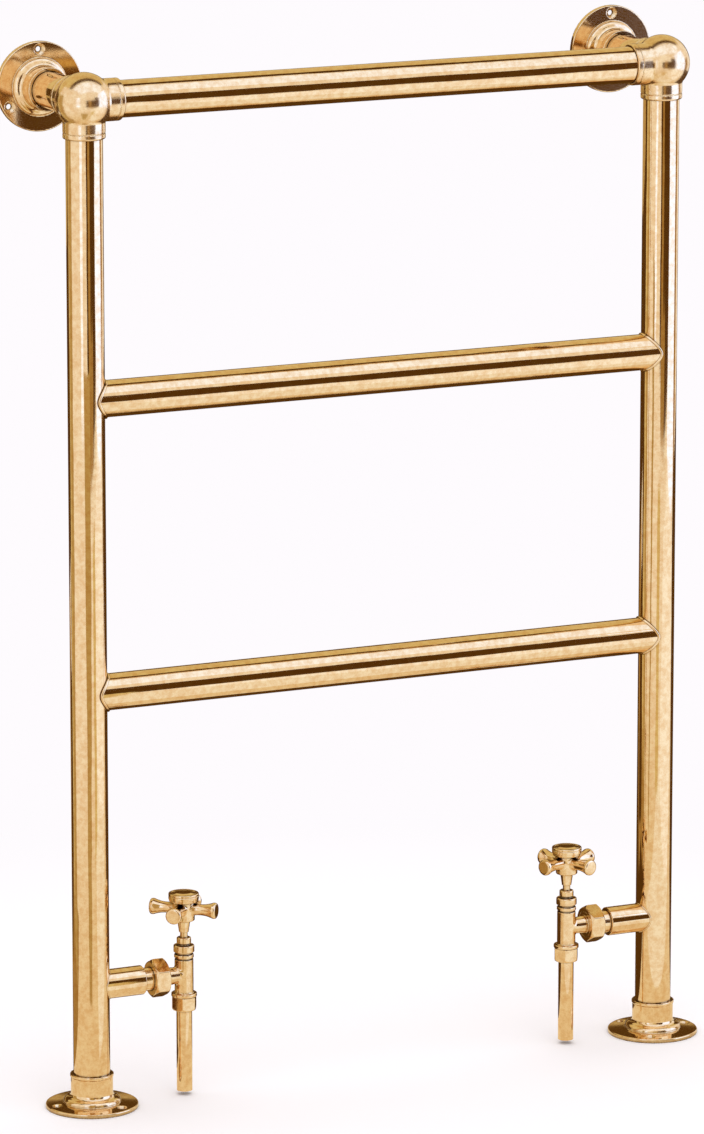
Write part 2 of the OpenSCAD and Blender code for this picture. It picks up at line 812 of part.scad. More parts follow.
module olive() {
    outer_r = spigot_d / 2 - olive_gap;
    color(copper) at_valve() translate([0, 0, mouth_z - olive_h]) rotate_extrude() polygon([
        [pipe_socket_r, 0], [pipe_socket_r + olive_lip, 0], [outer_r, olive_h / 2],
        [outer_r, olive_h], [pipe_socket_r, olive_h]
    ]);
}

module compression_nut() {
    color(valve_brass) at_valve() difference() {
        translate([0, 0, comp_z]) hexagon(comp_af, comp_len, nut_chamfer, 0);
        translate([0, 0, comp_z - over]) cylinder(r = pipe_r + nut_mouth_gap, h = comp_len + 2 * over);
        translate([0, 0, mouth_z - olive_h]) cylinder(r = spigot_d / 2 + joint_gap, h = comp_len);
    }
}

// Puts a shape at the air vent, drawn along +Z from the top bar's axis towards the wall
module at_vent() {
    translate([upright_spacing / 2 - vent_inset, upright_y, top_bar_z]) backward() children();
}

module air_vent_body() {
    color(valve_brass) at_vent() difference() {
        union() {
            translate([0, 0, tube_r - tube_wall - over]) cylinder(d = vent_thread_d, h = vent_out);
            difference() {
                translate([0, 0, tube_r / 2]) hexagon(vent_af, tube_r / 2 + vent_out, 0, vent_chamfer);
                rotate([0, 90, 0]) cylinder(r = socket_r, h = 2 * vent_af, center = true);
            }
        }
        cylinder(r = vent_screw_d / 2 + run_gap, h = tube_r + vent_out + over);
    }
}

module air_vent_screw() {
    shank_start = tube_r - tube_wall;
    color(steel) at_vent() {
        translate([0, 0, shank_start])
            cylinder(d = vent_screw_d, h = tube_r + vent_out + over - shank_start);
        translate([-vent_square / 2, -vent_square / 2, tube_r + vent_out + face_gap])
            cube([vent_square, vent_square, vent_square_h]);
    }
}

on_left() upright();  // left_upright
on_right() upright();  // right_upright
top_bar();
middle_bar();
lower_bar();
on_left() ball_joint();  // left_ball_joint
on_right() ball_joint();  // right_ball_joint
on_left() wall_stem();  // left_wall_stem
on_right() wall_stem();  // right_wall_stem
on_left() wall_flange();  // left_wall_flange
on_right() wall_flange();  // right_wall_flange
on_left() floor_flange();  // left_floor_flange
on_right() floor_flange();  // right_floor_flange
on_left() foot_plug();  // left_foot_plug
on_right() foot_plug();  // right_foot_plug
flange_grub_screws();
on_left() valve_stub();  // left_valve_stub
on_right() valve_stub();  // right_valve_stub
on_left() union_tail();  // left_union_tail
on_right() union_tail();  // right_union_tail
on_left() union_nut();  // left_union_nut
on_right() union_nut();  // right_union_nut
on_left() union_washer();  // left_union_washer
on_right() union_washer();  // right_union_washer
on_left() valve_body();  // left_valve_body
on_right() valve_body();  // right_valve_body
on_left() bonnet();  // left_bonnet
on_right() bonnet();  // right_bonnet
on_left() gland_packing();  // left_gland_packing
on_right() gland_packing();  // right_gland_packing
on_left() gland_nut();  // left_gland_nut
on_right() gland_nut();  // right_gland_nut
on_left() valve_disc();  // left_valve_disc
on_right() valve_disc();  // right_valve_disc
on_left() seat_washer();  // left_seat_washer
on_right() seat_washer();  // right_seat_washer
on_left() spindle();  // left_spindle
on_right() spindle();  // right_spindle
on_left() handle(-left_arm_angle);  // left_handle
on_right() handle(right_arm_angle);  // right_handle
on_left() handle_cap();  // left_handle_cap
on_right() handle_cap();  // right_handle_cap
on_left() handle_screw();  // left_handle_screw
on_right() handle_screw();  // right_handle_screw
on_left() olive();  // left_olive
on_right() olive();  // right_olive
on_left() compression_nut();  // left_compression_nut
on_right() compression_nut();  // right_compression_nut
on_left() tail_pipe();  // left_tail_pipe
on_right() tail_pipe();  // right_tail_pipe
air_vent_body();
air_vent_screw();
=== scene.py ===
"""Looks of the heated towel rail: drawn brass tube, cast ball joints, turned flanges and two angle valves."""
import json
import math
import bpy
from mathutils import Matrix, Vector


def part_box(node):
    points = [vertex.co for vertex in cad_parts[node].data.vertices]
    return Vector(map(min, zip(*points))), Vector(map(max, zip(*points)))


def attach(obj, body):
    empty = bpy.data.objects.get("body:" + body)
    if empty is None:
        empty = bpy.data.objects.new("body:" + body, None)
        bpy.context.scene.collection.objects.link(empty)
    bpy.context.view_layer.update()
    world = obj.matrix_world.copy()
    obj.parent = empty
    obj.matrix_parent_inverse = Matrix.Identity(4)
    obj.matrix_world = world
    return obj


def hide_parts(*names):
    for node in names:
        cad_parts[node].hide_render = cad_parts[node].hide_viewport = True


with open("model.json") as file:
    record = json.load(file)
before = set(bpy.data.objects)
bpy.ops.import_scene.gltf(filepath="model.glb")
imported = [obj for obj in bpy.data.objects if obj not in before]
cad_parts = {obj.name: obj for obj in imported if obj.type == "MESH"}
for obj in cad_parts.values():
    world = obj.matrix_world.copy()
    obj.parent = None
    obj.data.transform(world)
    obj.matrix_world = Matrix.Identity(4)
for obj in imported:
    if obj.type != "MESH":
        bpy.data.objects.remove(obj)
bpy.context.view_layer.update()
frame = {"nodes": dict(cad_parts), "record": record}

from types import SimpleNamespace

import bpy
import numpy as np
from mathutils import Matrix, Vector

MM = 0.001
X, Y, Z = np.eye(3)
SIDES = ("left", "right")
COARSE = 1.0


def millimetres(**sizes):
    """Sizes given in millimetres, kept in metres under their names."""
    return SimpleNamespace(**{name: size * MM for name, size in sizes.items()})


def box_of(node):
    """Lowest corner, highest corner and middle of a CAD node."""
    low, high = (np.array(corner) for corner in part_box(node))
    return low, high, (low + high) / 2


def end_of(low, high, axis):
    """Middle of the end of a box that an axis starts from."""
    return np.where(axis == 0, (low + high) / 2, np.where(axis > 0, low, high))


# Places and sizes that the pieces share, taken from the frame and drawn on the right side
UPRIGHT_LOW, UPRIGHT_HIGH, UPRIGHT = box_of("right_upright")
BALL = np.array([UPRIGHT[0], UPRIGHT[1], box_of("top_bar")[2][2]])
VALVE = np.array([box_of("right_spindle")[2][0], UPRIGHT[1], box_of("right_union_nut")[2][2]])
AXLE = np.array([VALVE[0], VALVE[1], 0])
SPACING = float(2 * UPRIGHT[0])
TUBE_R = (UPRIGHT_HIGH[1] - UPRIGHT_LOW[1]) / 2
JOINT_GAP = 0.05 * MM
SOCKET_R = TUBE_R + JOINT_GAP


def linear(code):
    """Turns an sRGB hex colour into the linear colour that a shader's socket takes."""
    channels = [int(code[i:i + 2], 16) / 255 for i in (1, 3, 5)]
    return [c / 12.92 if c <= 0.04045 else ((c + 0.055) / 1.055) ** 2.4 for c in channels] + [1.0]


def add(tree, kind, inputs=None, **settings):
    """Adds a node with its settings. Inputs holds a value, a node's output or a node for each socket, and a
    node stands for its first output."""
    node = tree.nodes.new(kind)
    for name, value in settings.items():
        setattr(node, name, value)
    for socket, value in (inputs or {}).items():
        if isinstance(value, bpy.types.Node):
            value = value.outputs[0]
        if isinstance(value, bpy.types.NodeSocket):
            tree.links.new(value, node.inputs[socket])
        else:
            node.inputs[socket].default_value = value
    return node


# The camera stands to the left of the rail and a little above it
CAMERA_TARGET = Vector((-0.0273, -0.033, 0.4985))
CAMERA_AZIMUTH = math.radians(-25.19)
CAMERA_ELEVATION = math.radians(12.23)
CAMERA_DISTANCE = 6.485
CAMERA_LENS = 216.5
CAMERA_SENSOR = 36


def make_camera():
    """Puts the camera where the rail was seen from, with its long side upright."""
    data = bpy.data.cameras.new("camera")
    data.sensor_fit = "AUTO"
    data.sensor_width = CAMERA_SENSOR
    data.lens = CAMERA_LENS
    camera = bpy.data.objects.new("camera", data)
    bpy.context.collection.objects.link(camera)
    away = Vector((
        math.sin(CAMERA_AZIMUTH) * math.cos(CAMERA_ELEVATION),
        -math.cos(CAMERA_AZIMUTH) * math.cos(CAMERA_ELEVATION),
        math.sin(CAMERA_ELEVATION),
    ))
    camera.location = CAMERA_TARGET + away * CAMERA_DISTANCE
    camera.rotation_euler = (-away).to_track_quat("-Z", "Y").to_euler()
    bpy.context.scene.camera = camera


WHITE = "#FEFBFE"
# Strength of the white world as light on the rail, and to the eye and in reflections
ROOM_STRENGTH = 1.0
SEEN_STRENGTH = 1.0
# The Mix node's sockets for colours
FIRST_COLOUR, SECOND_COLOUR, MIXED_COLOUR = 6, 7, 2
# Light that polished brass mirrors from each card, panel and sheet
BROWN = (0.10, 0.045, 0.008, 1.0)
UMBER = (0.42, 0.26, 0.085, 1.0)
AMBER = (0.53, 0.38, 0.16, 1.0)
TAN = (0.75, 0.62, 0.33, 1.0)
CREAM = (0.87, 0.75, 0.57, 1.0)
PALE = (1.0, 1.0, 1.03, 1.0)
BRIGHT = (1.10, 1.16, 1.36, 1.0)
TOP_PANEL = (1.13, 1.29, 1.8, 1.0)
RIGHT_PANEL = (1.22, 1.55, 2.7, 1.0)
LEFT_PANEL = (1.22, 1.48, 2.3, 1.0)


def new_material(name):
    """An empty node material and its tree."""
    material = bpy.data.materials.new(name)
    material.use_nodes = True
    material.node_tree.nodes.clear()
    return material, material.node_tree


def world_light():
    """White for the eye and for reflections, plain white light on the rest."""
    world = bpy.data.worlds.new("white studio")
    bpy.context.scene.world = world
    world.use_nodes = True
    tree = world.node_tree
    tree.nodes.clear()
    path = add(tree, "ShaderNodeLightPath").outputs
    eye = add(tree, "ShaderNodeMath", {
        0: path["Is Camera Ray"], 1: path["Is Glossy Ray"],
    }, operation="MAXIMUM")
    seen = add(tree, "ShaderNodeMath", {0: eye, 1: path["Is Transmission Ray"]}, operation="MAXIMUM")
    room = add(tree, "ShaderNodeBackground", {"Color": linear(WHITE), "Strength": ROOM_STRENGTH})
    shown = add(tree, "ShaderNodeBackground", {"Color": linear(WHITE), "Strength": SEEN_STRENGTH})
    mixed = add(tree, "ShaderNodeMixShader", {"Fac": seen, 1: room, 2: shown})
    add(tree, "ShaderNodeOutputWorld", {"Surface": mixed})


def card(name, corners, material, seen=False):
    """A flat studio sheet through its corners, which only polished metal sees unless asked."""
    mesh = bpy.data.meshes.new(name)
    mesh.from_pydata(corners, [], [range(len(corners))])
    mesh.materials.append(material)
    sheet = bpy.data.objects.new(name, mesh)
    bpy.context.collection.objects.link(sheet)
    if not seen:
        sheet.visible_camera = False
        sheet.visible_diffuse = False
        sheet.visible_transmission = False
        sheet.visible_shadow = False


def standing(x0, y0, x1, y1, bottom, top):
    """Corners of an upright sheet between two places on the floor."""
    return [(x0, y0, bottom), (x1, y1, bottom), (x1, y1, top), (x0, y0, top)]


def level(places, height):
    """Corners of a level sheet with any outline."""
    return [(x, y, height) for x, y in places]


def lying(x0, y0, x1, y1, height):
    """Corners of a level sheet with square corners."""
    return level([(x0, y0), (x1, y0), (x1, y1), (x0, y1)], height)


def card_material(name, colour):
    """A card that shows one even tone in polished metal."""
    material, tree = new_material(name)
    glow = add(tree, "ShaderNodeEmission", {"Color": colour})
    add(tree, "ShaderNodeOutputMaterial", {"Surface": glow})
    return material


LAMP_AIM = Vector((0, 0, 0.5))
LAMP_RADIANCE = 0.9


def lamp(name, place, width, height):
    """A soft lamp for the floor and the matt pieces. Polished metal sees the cards instead."""
    data = bpy.data.lights.new(name, "AREA")
    data.shape = "RECTANGLE"
    data.size = width
    data.size_y = height
    data.energy = LAMP_RADIANCE * math.pi * width * height
    light = bpy.data.objects.new(name, data)
    bpy.context.collection.objects.link(light)
    light.location = place
    light.rotation_euler = (LAMP_AIM - Vector(place)).to_track_quat("-Z", "Y").to_euler()
    light.visible_glossy = False


def floor_material():
    """Pale studio floor: it keeps the rail's soft shadow and is plain white further out.
    Polished metal sees it as cream near the rail and white beyond. The reach is in metres."""
    material, tree = new_material("pale studio floor")
    place = add(tree, "ShaderNodeTexCoord").outputs["Object"]
    reach = add(tree, "ShaderNodeVectorMath", {0: place}, operation="LENGTH").outputs["Value"]
    beyond = add(tree, "ShaderNodeMapRange", {"Value": reach, "From Min": 0.4, "From Max": 2.0},
                 interpolation_type="SMOOTHSTEP")
    matt = add(tree, "ShaderNodeBsdfDiffuse", {"Color": linear("#F4F2F2")})
    white = add(tree, "ShaderNodeEmission", {"Color": linear(WHITE)})
    faded = add(tree, "ShaderNodeMapRange", {"Value": reach, "From Min": 0.45, "From Max": 0.95},
                interpolation_type="SMOOTHSTEP")
    eye = add(tree, "ShaderNodeMixShader", {0: faded, 1: matt, 2: white})
    mirrored = add(tree, "ShaderNodeMix", {
        0: beyond, FIRST_COLOUR: CREAM, SECOND_COLOUR: linear(WHITE),
    }, data_type="RGBA").outputs[MIXED_COLOUR]
    glossy = add(tree, "ShaderNodeEmission", {"Color": mirrored})
    mirror = add(tree, "ShaderNodeLightPath").outputs["Is Glossy Ray"]
    shown = add(tree, "ShaderNodeMixShader", {0: mirror, 1: eye, 2: glossy})
    add(tree, "ShaderNodeOutputMaterial", {"Surface": shown})
    return material


# The studio, in metres from the middle of the rail's footprint
FLOOR_REACH = 9
FRONT_Y, REAR_Y = -3.0, 2.2
FRONT_TOP, SIDE_TOP, CEILING, PANEL_CEILING = 1.5, 1.1, 2.6, 3.0
REAR_LEFT, REAR_RIGHT = -2.2, 3


def make_studio():
    """White room with a pale floor, two soft lamps, and the cards and panels that streak the brass."""
    world_light()
    brown = card_material("matt brown card", BROWN)
    umber = card_material("umber paper", UMBER)
    amber = card_material("amber paper", AMBER)
    tan = card_material("matt tan card", TAN)
    card("floor", lying(-FLOOR_REACH, -FLOOR_REACH, FLOOR_REACH, FLOOR_REACH, 0), floor_material(), seen=True)

    # In front: they draw the dark streaks down the uprights and along the bars. Each row gives where a
    # card starts and ends from left to right, its bottom, its top and its tone
    for name, left, right, bottom, top, tone in (
        ("front_left_card", -1.0, -0.5, 0.1, FRONT_TOP, brown),
        ("front_middle_card", -0.5, 0.1, 0.0, FRONT_TOP, umber),
        ("front_card", 0.1, 0.75, 0.2, FRONT_TOP, brown),
        ("front_foot_card", 0.1, 0.75, 0.0, 0.2, umber),
        ("front_low_card", 0.75, 0.95, 0.0, FRONT_TOP, brown),
        ("front_high_card", 0.95, 2.1, 0.0, 2.1, brown),
        ("front_side_card", 2.1, 2.5, 0.35, 1.3, umber),
    ):
        card(name, standing(left, FRONT_Y, right, FRONT_Y, bottom, top), tone)

    # Close in front: the near card draws the amber streak down the left upright, and the other one a thin
    # tan streak low on the right upright
    card("near_card", [(-0.518, -0.3627, 0), (-0.408, -0.4015, 0), (-0.319, -0.433, 0.45),
                       (-0.319, -0.433, 0.64), (-0.534, -0.357, 0.64)], amber)
    card("near_right_card", standing(-0.145, -0.929, 0.142, -1.02, 0, 0.35), tan)

    # On the floor in front and to the right: a pale sheet and a bright one, each a millimetre above the last
    card("pale_sheet", level([(-0.22, -0.2), (0.05, -1.3), (0.35, -1.3), (0.9, -0.25)], MM),
         card_material("pale floor sheet", PALE))
    card("right_sheet", level([(0.3, -1.2), (0.8, -2.4), (2.6, -2.4), (2.6, -0.3), (0.85, -0.3)], 2 * MM),
         card_material("bright floor sheet", BRIGHT))

    # Behind: they draw the dark edges of the tubes and the gold along the tops of the bars
    card("rear_floor_card", level([(-0.33, 0.05), (0.6, 0.05), (3.2, -0.35), (3.2, REAR_Y), (-0.1, REAR_Y),
                                   (-0.1, 0.45), (-0.33, 0.45)], 2 * MM), brown)
    card("rear_floor_side", lying(-1.0, 0.1, -0.1, REAR_Y, MM), umber)
    card("rear_floor_edge", level([(-0.42, 0.45), (-0.14, 0.7), (-0.8, 1.9), (-1.5, 1.25)], 3 * MM), brown)
    for name, bottom, top, tone in (
        ("rear_low_card", 0, 0.45, brown),
        ("rear_middle_card", 0.45, 0.66, amber),
        ("rear_band_card", 0.66, 1.4, brown),
        ("rear_high_card", 1.4, CEILING, tan),
    ):
        card(name, standing(REAR_LEFT, REAR_Y, REAR_RIGHT, REAR_Y, bottom, top), tone)

    # At the left: they draw the left edge of the left upright
    card("side_card", standing(-0.75, 0.42, -0.92, 0.82, 0, SIDE_TOP), tan)
    card("side_far_card", standing(-0.92, 0.82, -1.6, 2.4, 0, SIDE_TOP), brown)
    card("side_edge_card", standing(-0.7, 0.12, -0.75, 0.42, 0, SIDE_TOP), amber)

    # Overhead and at both sides: cards for the upper edges of the bars and balls, and soft panels for the
    # broad highlights
    card("overhead_tan_card", lying(-2.0, 0.48, 2.5, REAR_Y, CEILING), tan)
    card("overhead_card", lying(-2.0, -0.01, 2.0, 0.48, CEILING), brown)
    card("top_panel", lying(-2.2, -2.3, 2.6, -0.25, PANEL_CEILING),
         card_material("soft top panel", TOP_PANEL))
    card("right_panel", standing(1.9, -2.6, 2.95, -0.36, 0, CEILING),
         card_material("soft right panel", RIGHT_PANEL))
    card("right_edge_card", standing(2.95, -0.36, 3.4, 0.6, 0, 1.2), umber)
    card("left_panel", standing(-3.0, -2.1, -2.4, -2.7, 0, 2.2),
         card_material("soft left panel", LEFT_PANEL))
    lamp("front_lamp", (-0.6, -3.4, 3.0), width=3.0, height=2.4)
    lamp("top_lamp", (0.4, 0.3, 3.4), width=3.0, height=3.0)


# Tones that brass drifts between, and the brown of the painted shade in its corners
BRASS_TONES = ("#F5DAAB", "#E7C08A")
# Brazing brass is a duller alloy, and its tones are darkened further as painted shade along each joint
BRAZE_AND_SHADE_TONES = ("#9A6C34", "#6B441A")
PAINTED_SHADE_BROWN = "#3E220A"
DRIFT_MM = 6
CORNER_SAMPLES = 8


def per_metre(mm):
    """Noise scale that makes a pattern's features about that many millimetres wide."""
    return 1 / (mm * MM)


def turned_place(tree, place, centre, across):
    """Distance from a turning axis and place along it, the same for both sides of the rail.
    Across holds 1 for the two directions that the axis is square to, and 0 for its own."""
    parts = add(tree, "ShaderNodeSeparateXYZ", {0: place}).outputs
    folded = add(tree, "ShaderNodeMath", {0: parts["X"]}, operation="ABSOLUTE")
    one_side = add(tree, "ShaderNodeCombineXYZ", {"X": folded, "Y": parts["Y"], "Z": parts["Z"]})
    beside = add(tree, "ShaderNodeVectorMath", {0: one_side, 1: tuple(centre)}, operation="SUBTRACT")
    flat = add(tree, "ShaderNodeVectorMath", {0: beside, 1: across}, operation="MULTIPLY")
    off = add(tree, "ShaderNodeVectorMath", {0: flat}, operation="LENGTH").outputs["Value"]
    own = tuple(1 - share for share in across)
    along = add(tree, "ShaderNodeVectorMath", {0: beside, 1: own}, operation="DOT_PRODUCT").outputs["Value"]
    return add(tree, "ShaderNodeCombineXYZ", {"X": off, "Y": along})


def brass(name, roughness, mark_mm, mark_depth, stretch=(1, 1, 1), centre=None, across=None, grain_mm=None,
          grain_depth=0.012, shade_reach_mm=3.5, tones=BRASS_TONES):
    """Polished brass: warm metal with a faint drift of tone, painted brown shade in its corners, and fine
    marks, which are drawn out along a tube, run round a turned piece, or are the pebbling of a casting.
    Widths and depths are in millimetres. A second grain is optional."""
    material, tree = new_material(name)
    place = add(tree, "ShaderNodeTexCoord").outputs["Object"]
    if centre is None:
        run = add(tree, "ShaderNodeMapping", {"Vector": place, "Scale": stretch})
    else:
        run = turned_place(tree, place, centre, across)
    drift = add(tree, "ShaderNodeTexNoise", {
        "Vector": place, "Scale": per_metre(DRIFT_MM), "Detail": 4.0, "Roughness": 0.75,
    }).outputs["Fac"]
    share = add(tree, "ShaderNodeMapRange", {"Value": drift, "From Min": 0.38, "From Max": 0.62})
    metal = add(tree, "ShaderNodeMix", {
        0: share, FIRST_COLOUR: linear(tones[0]), SECOND_COLOUR: linear(tones[1]),
    }, data_type="RGBA").outputs[MIXED_COLOUR]
    # Painted shade: ambient occlusion darkens the metal towards brown in corners, grooves and joints, where
    # shade falls
    corner = add(tree, "ShaderNodeAmbientOcclusion", {"Distance": shade_reach_mm * MM},
                 samples=CORNER_SAMPLES).outputs["AO"]
    painted_shade = add(tree, "ShaderNodeMapRange", {
        "Value": corner, "From Min": 0.3, "From Max": 0.85, "To Min": 0.92, "To Max": 0.0,
    })
    colour = add(tree, "ShaderNodeMix", {
        0: painted_shade, FIRST_COLOUR: metal, SECOND_COLOUR: linear(PAINTED_SHADE_BROWN),
    }, data_type="RGBA").outputs[MIXED_COLOUR]
    spread = add(tree, "ShaderNodeMapRange", {
        "Value": drift, "From Min": 0.3, "From Max": 0.7,
        "To Min": roughness * 0.75, "To Max": roughness * 1.25,
    })
    marks = add(tree, "ShaderNodeTexNoise", {
        "Vector": run, "Scale": per_metre(mark_mm), "Detail": 2.0,
    }).outputs["Fac"]
    bump = add(tree, "ShaderNodeBump", {"Height": marks, "Distance": mark_depth * MM})
    if grain_mm:
        grain = add(tree, "ShaderNodeTexNoise", {"Vector": run, "Scale": per_metre(grain_mm), "Detail": 2.0})
        bump = add(tree, "ShaderNodeBump", {
            "Height": grain.outputs["Fac"], "Distance": grain_depth * MM, "Normal": bump,
        })
    shader = add(tree, "ShaderNodeBsdfPrincipled", {
        "Base Color": colour, "Metallic": 1.0, "Roughness": spread, "Normal": bump,
    })
    add(tree, "ShaderNodeOutputMaterial", {"Surface": shader})
    return material


def drawn_brass(way, stretch):
    """Drawn tube, buffed along its length: sharp streaks that run from end to end, with a slight waver.
    The buffing marks are really finer than this, and are drawn wide enough to show."""
    return brass(f"drawn brass tube, buffed {way}", 0.06, 1.2, 0.004, stretch, grain_mm=14, grain_depth=0.3)


PLAIN_GRAIN_DEPTH = 0.02 * MM


def plain_finish(name, colour, roughness, metallic, grain_mm):
    """A quiet finish for the small inner pieces: even colour with a little grain."""
    material, tree = new_material(name)
    place = add(tree, "ShaderNodeTexCoord").outputs["Object"]
    grain = add(tree, "ShaderNodeTexNoise", {"Vector": place, "Scale": per_metre(grain_mm), "Detail": 2.0})
    shade = add(tree, "ShaderNodeMapRange", {"Value": grain.outputs["Fac"], "To Min": 0.85, "To Max": 1.1})
    tinted = add(tree, "ShaderNodeVectorMath", {0: linear(colour)[:3], "Scale": shade}, operation="SCALE")
    bump = add(tree, "ShaderNodeBump", {"Height": grain.outputs["Fac"], "Distance": PLAIN_GRAIN_DEPTH})
    shader = add(tree, "ShaderNodeBsdfPrincipled", {
        "Base Color": tinted, "Metallic": metallic, "Roughness": roughness, "Normal": bump,
    })
    add(tree, "ShaderNodeOutputMaterial", {"Surface": shader})
    return material


def make_materials():
    """Every finish of the rail by name."""
    floor_axis = (UPRIGHT[0], UPRIGHT[1], 0.0)
    return {
        # Drawn and buffed: long clean streaks down the uprights, along the bars and along the wall stems
        "upright tube": drawn_brass("upright", (1, 1, 0.12)),
        "level tube": drawn_brass("level", (0.12, 1, 1)),
        "depth tube": drawn_brass("in depth", (1, 0.12, 1)),
        # Polished by hand over the cast skin: a soft glow, with the room only hinted at
        "ball": brass("cast brass, polished by hand", 0.19, 2.5, 0.012, grain_mm=1.2),
        # Cast and wheel-polished: clear highlights, a little pebbled, with painted brown shade in its corners
        "cast": brass("cast brass, polished", 0.11, 2.5, 0.010, grain_mm=1.2, shade_reach_mm=5.5),
        # Turned on a lathe: fine rings that widen each highlight, and painted brown shade in the grooves.
        # Real rings are about 0.1 mm apart, and these are drawn wide enough to show
        "turned": brass("turned brass, about the spindle", 0.10, 0.7, 0.012, centre=VALVE, across=(1, 1, 0),
                        shade_reach_mm=5.5),
        "level turned": brass("turned brass, about the union", 0.13, 0.7, 0.012, centre=VALVE,
                              across=(0, 1, 1)),
        "floor flange": brass("turned brass, floor flange", 0.10, 0.9, 0.014, centre=floor_axis,
                              across=(1, 1, 0), shade_reach_mm=8),
        "wall flange": brass("turned brass, wall flange", 0.10, 0.9, 0.014, centre=BALL, across=(1, 0, 1),
                             shade_reach_mm=8),
        # Flowed by the torch and only wiped: a dull line round each brazed joint, with its darker tone partly
        # painted shade along the joint
        "braze": brass("brazing brass with painted shade", 0.25, 1.0, 0.05, tones=BRAZE_AND_SHADE_TONES),
        # Machined and left plain: an even grey with a blurred shine
        "steel": plain_finish("turned steel", "#8F8D88", 0.35, 1.0, 0.8),
        # Moulded: an even soft black without a highlight
        "rubber": plain_finish("moulded black rubber", "#22211F", 0.6, 0.0, 0.5),
        # Woven and pressed: a chalky white
        "packing": plain_finish("woven white packing", "#E9E6DC", 0.8, 0.0, 0.6),
        # Turned and not polished: a plain deeper gold
        "soft brass": plain_finish("soft brass, as turned", "#C79A58", 0.3, 1.0, 0.8),
    }


# Solids given by their distance, for cast and hexagonal pieces

def along_and_off(points, origin, axis):
    """How far points lie along an axis and how far off it."""
    beside = points - origin
    along = beside @ axis
    return along, np.linalg.norm(beside - np.outer(along, axis), axis=1)


def rod(points, origin, axis, start, end, radius, edge=0.0):
    """Distance to a cylinder between two places on an axis, with its edges rounded."""
    along, off = along_and_off(points, origin, axis)
    lengthwise = np.abs(along - (start + end) / 2) - (end - start) / 2 + edge
    sideways = off - radius + edge
    outside = np.hypot(np.maximum(lengthwise, 0), np.maximum(sideways, 0))
    return np.minimum(np.maximum(lengthwise, sideways), 0) + outside - edge


def join(first, second, fillet):
    """Distance to two solids joined with a fillet."""
    near = np.maximum(fillet - np.abs(first - second), 0) / fillet
    return np.minimum(first, second) - near * near * fillet / 4


def common(first, second, edge):
    """Distance to what two solids share, with the new edge eased."""
    return -join(-first, -second, edge)


def cut(solid, tool, edge):
    """Distance to a solid with a tool's shape cut out of it, with the new edge eased."""
    return common(solid, -tool, edge)


def slopes(distance, points, step):
    """How the distance changes along X, Y and Z."""
    changes = [distance(points + move) - distance(points - move) for move in np.eye(3) * step]
    return np.stack(changes, axis=1) / (2 * step)


SETTLING_PASSES = 4
# A slope's step is this share of a cell, and a flatter slope than this is never divided by
STEP_SHARE = 1 / 20
LEAST_SLOPE = 0.1


def skin(distance, low, high, cell_mm):
    """Meshes the surface of a solid given by its distance: one point in each cell that the surface crosses,
    moved onto the surface, and one face round each edge of the cells that it crosses."""
    cell = cell_mm * MM * COARSE
    axes = [np.arange(start - 2 * cell, end + 3 * cell, cell) for start, end in zip(low, high)]
    grid = np.stack(np.meshgrid(*axes, indexing="ij"), axis=-1)
    value = distance(grid.reshape(-1, 3)).reshape(grid.shape[:3])
    solid = value < 0
    cells = tuple(n - 1 for n in value.shape)
    corners = [np.array(corner) for corner in np.ndindex(2, 2, 2)]
    windows = [tuple(slice(c, c + n) for c, n in zip(corner, cells)) for corner in corners]
    filled = sum(solid[window].astype(int) for window in windows)
    crossed = (filled > 0) & (filled < len(corners))
    number = np.full(cells, -1)
    number[crossed] = np.arange(crossed.sum())
    start = grid[:-1, :-1, :-1][crossed]
    at = np.stack([value[window][crossed] for window in windows], axis=1)
    total, count = np.zeros_like(start), np.zeros(len(start))
    for a, first in enumerate(corners):
        for b, second in enumerate(corners):
            if b > a and np.abs(second - first).sum() == 1:
                split = (at[:, a] < 0) != (at[:, b] < 0)
                share = np.where(split, at[:, a] / np.where(split, at[:, a] - at[:, b], 1), 0)
                total += split[:, None] * (first + share[:, None] * (second - first))
                count += split
    points = start + cell * total / count[:, None]
    for _ in range(SETTLING_PASSES):
        slope = slopes(distance, points, cell * STEP_SHARE)
        move = (distance(points) / np.maximum((slope ** 2).sum(axis=1), LEAST_SLOPE))[:, None] * slope
        points -= np.clip(move, -cell / 2, cell / 2)
    normals = slopes(distance, points, cell * STEP_SHARE)
    normals /= np.linalg.norm(normals, axis=1)[:, None]

    faces = []
    for axis in range(3):
        u, v = (axis + 1) % 3, (axis + 2) % 3
        inner = [slice(None)] * 3
        inner[u] = inner[v] = slice(1, -1)
        before, after = list(inner), list(inner)
        before[axis], after[axis] = slice(None, -1), slice(1, None)
        leaving = solid[tuple(before)] & ~solid[tuple(after)]
        entering = ~solid[tuple(before)] & solid[tuple(after)]
        for crossing, order in ((leaving, (0, 1, 2, 3)), (entering, (3, 2, 1, 0))):
            spot = np.argwhere(crossing)
            spot[:, u] += 1
            spot[:, v] += 1
            ring = []
            for du, dv in ((-1, -1), (0, -1), (0, 0), (-1, 0)):
                cell_of = spot.copy()
                cell_of[:, u] += du
                cell_of[:, v] += dv
                ring.append(number[tuple(cell_of.T)])
            faces.append(np.stack([ring[i] for i in order], axis=1))
    return points, np.concatenate(faces).tolist(), normals


# Pieces turned on a lathe

ARC_STEPS = 4
LATHE_SIDES = 96


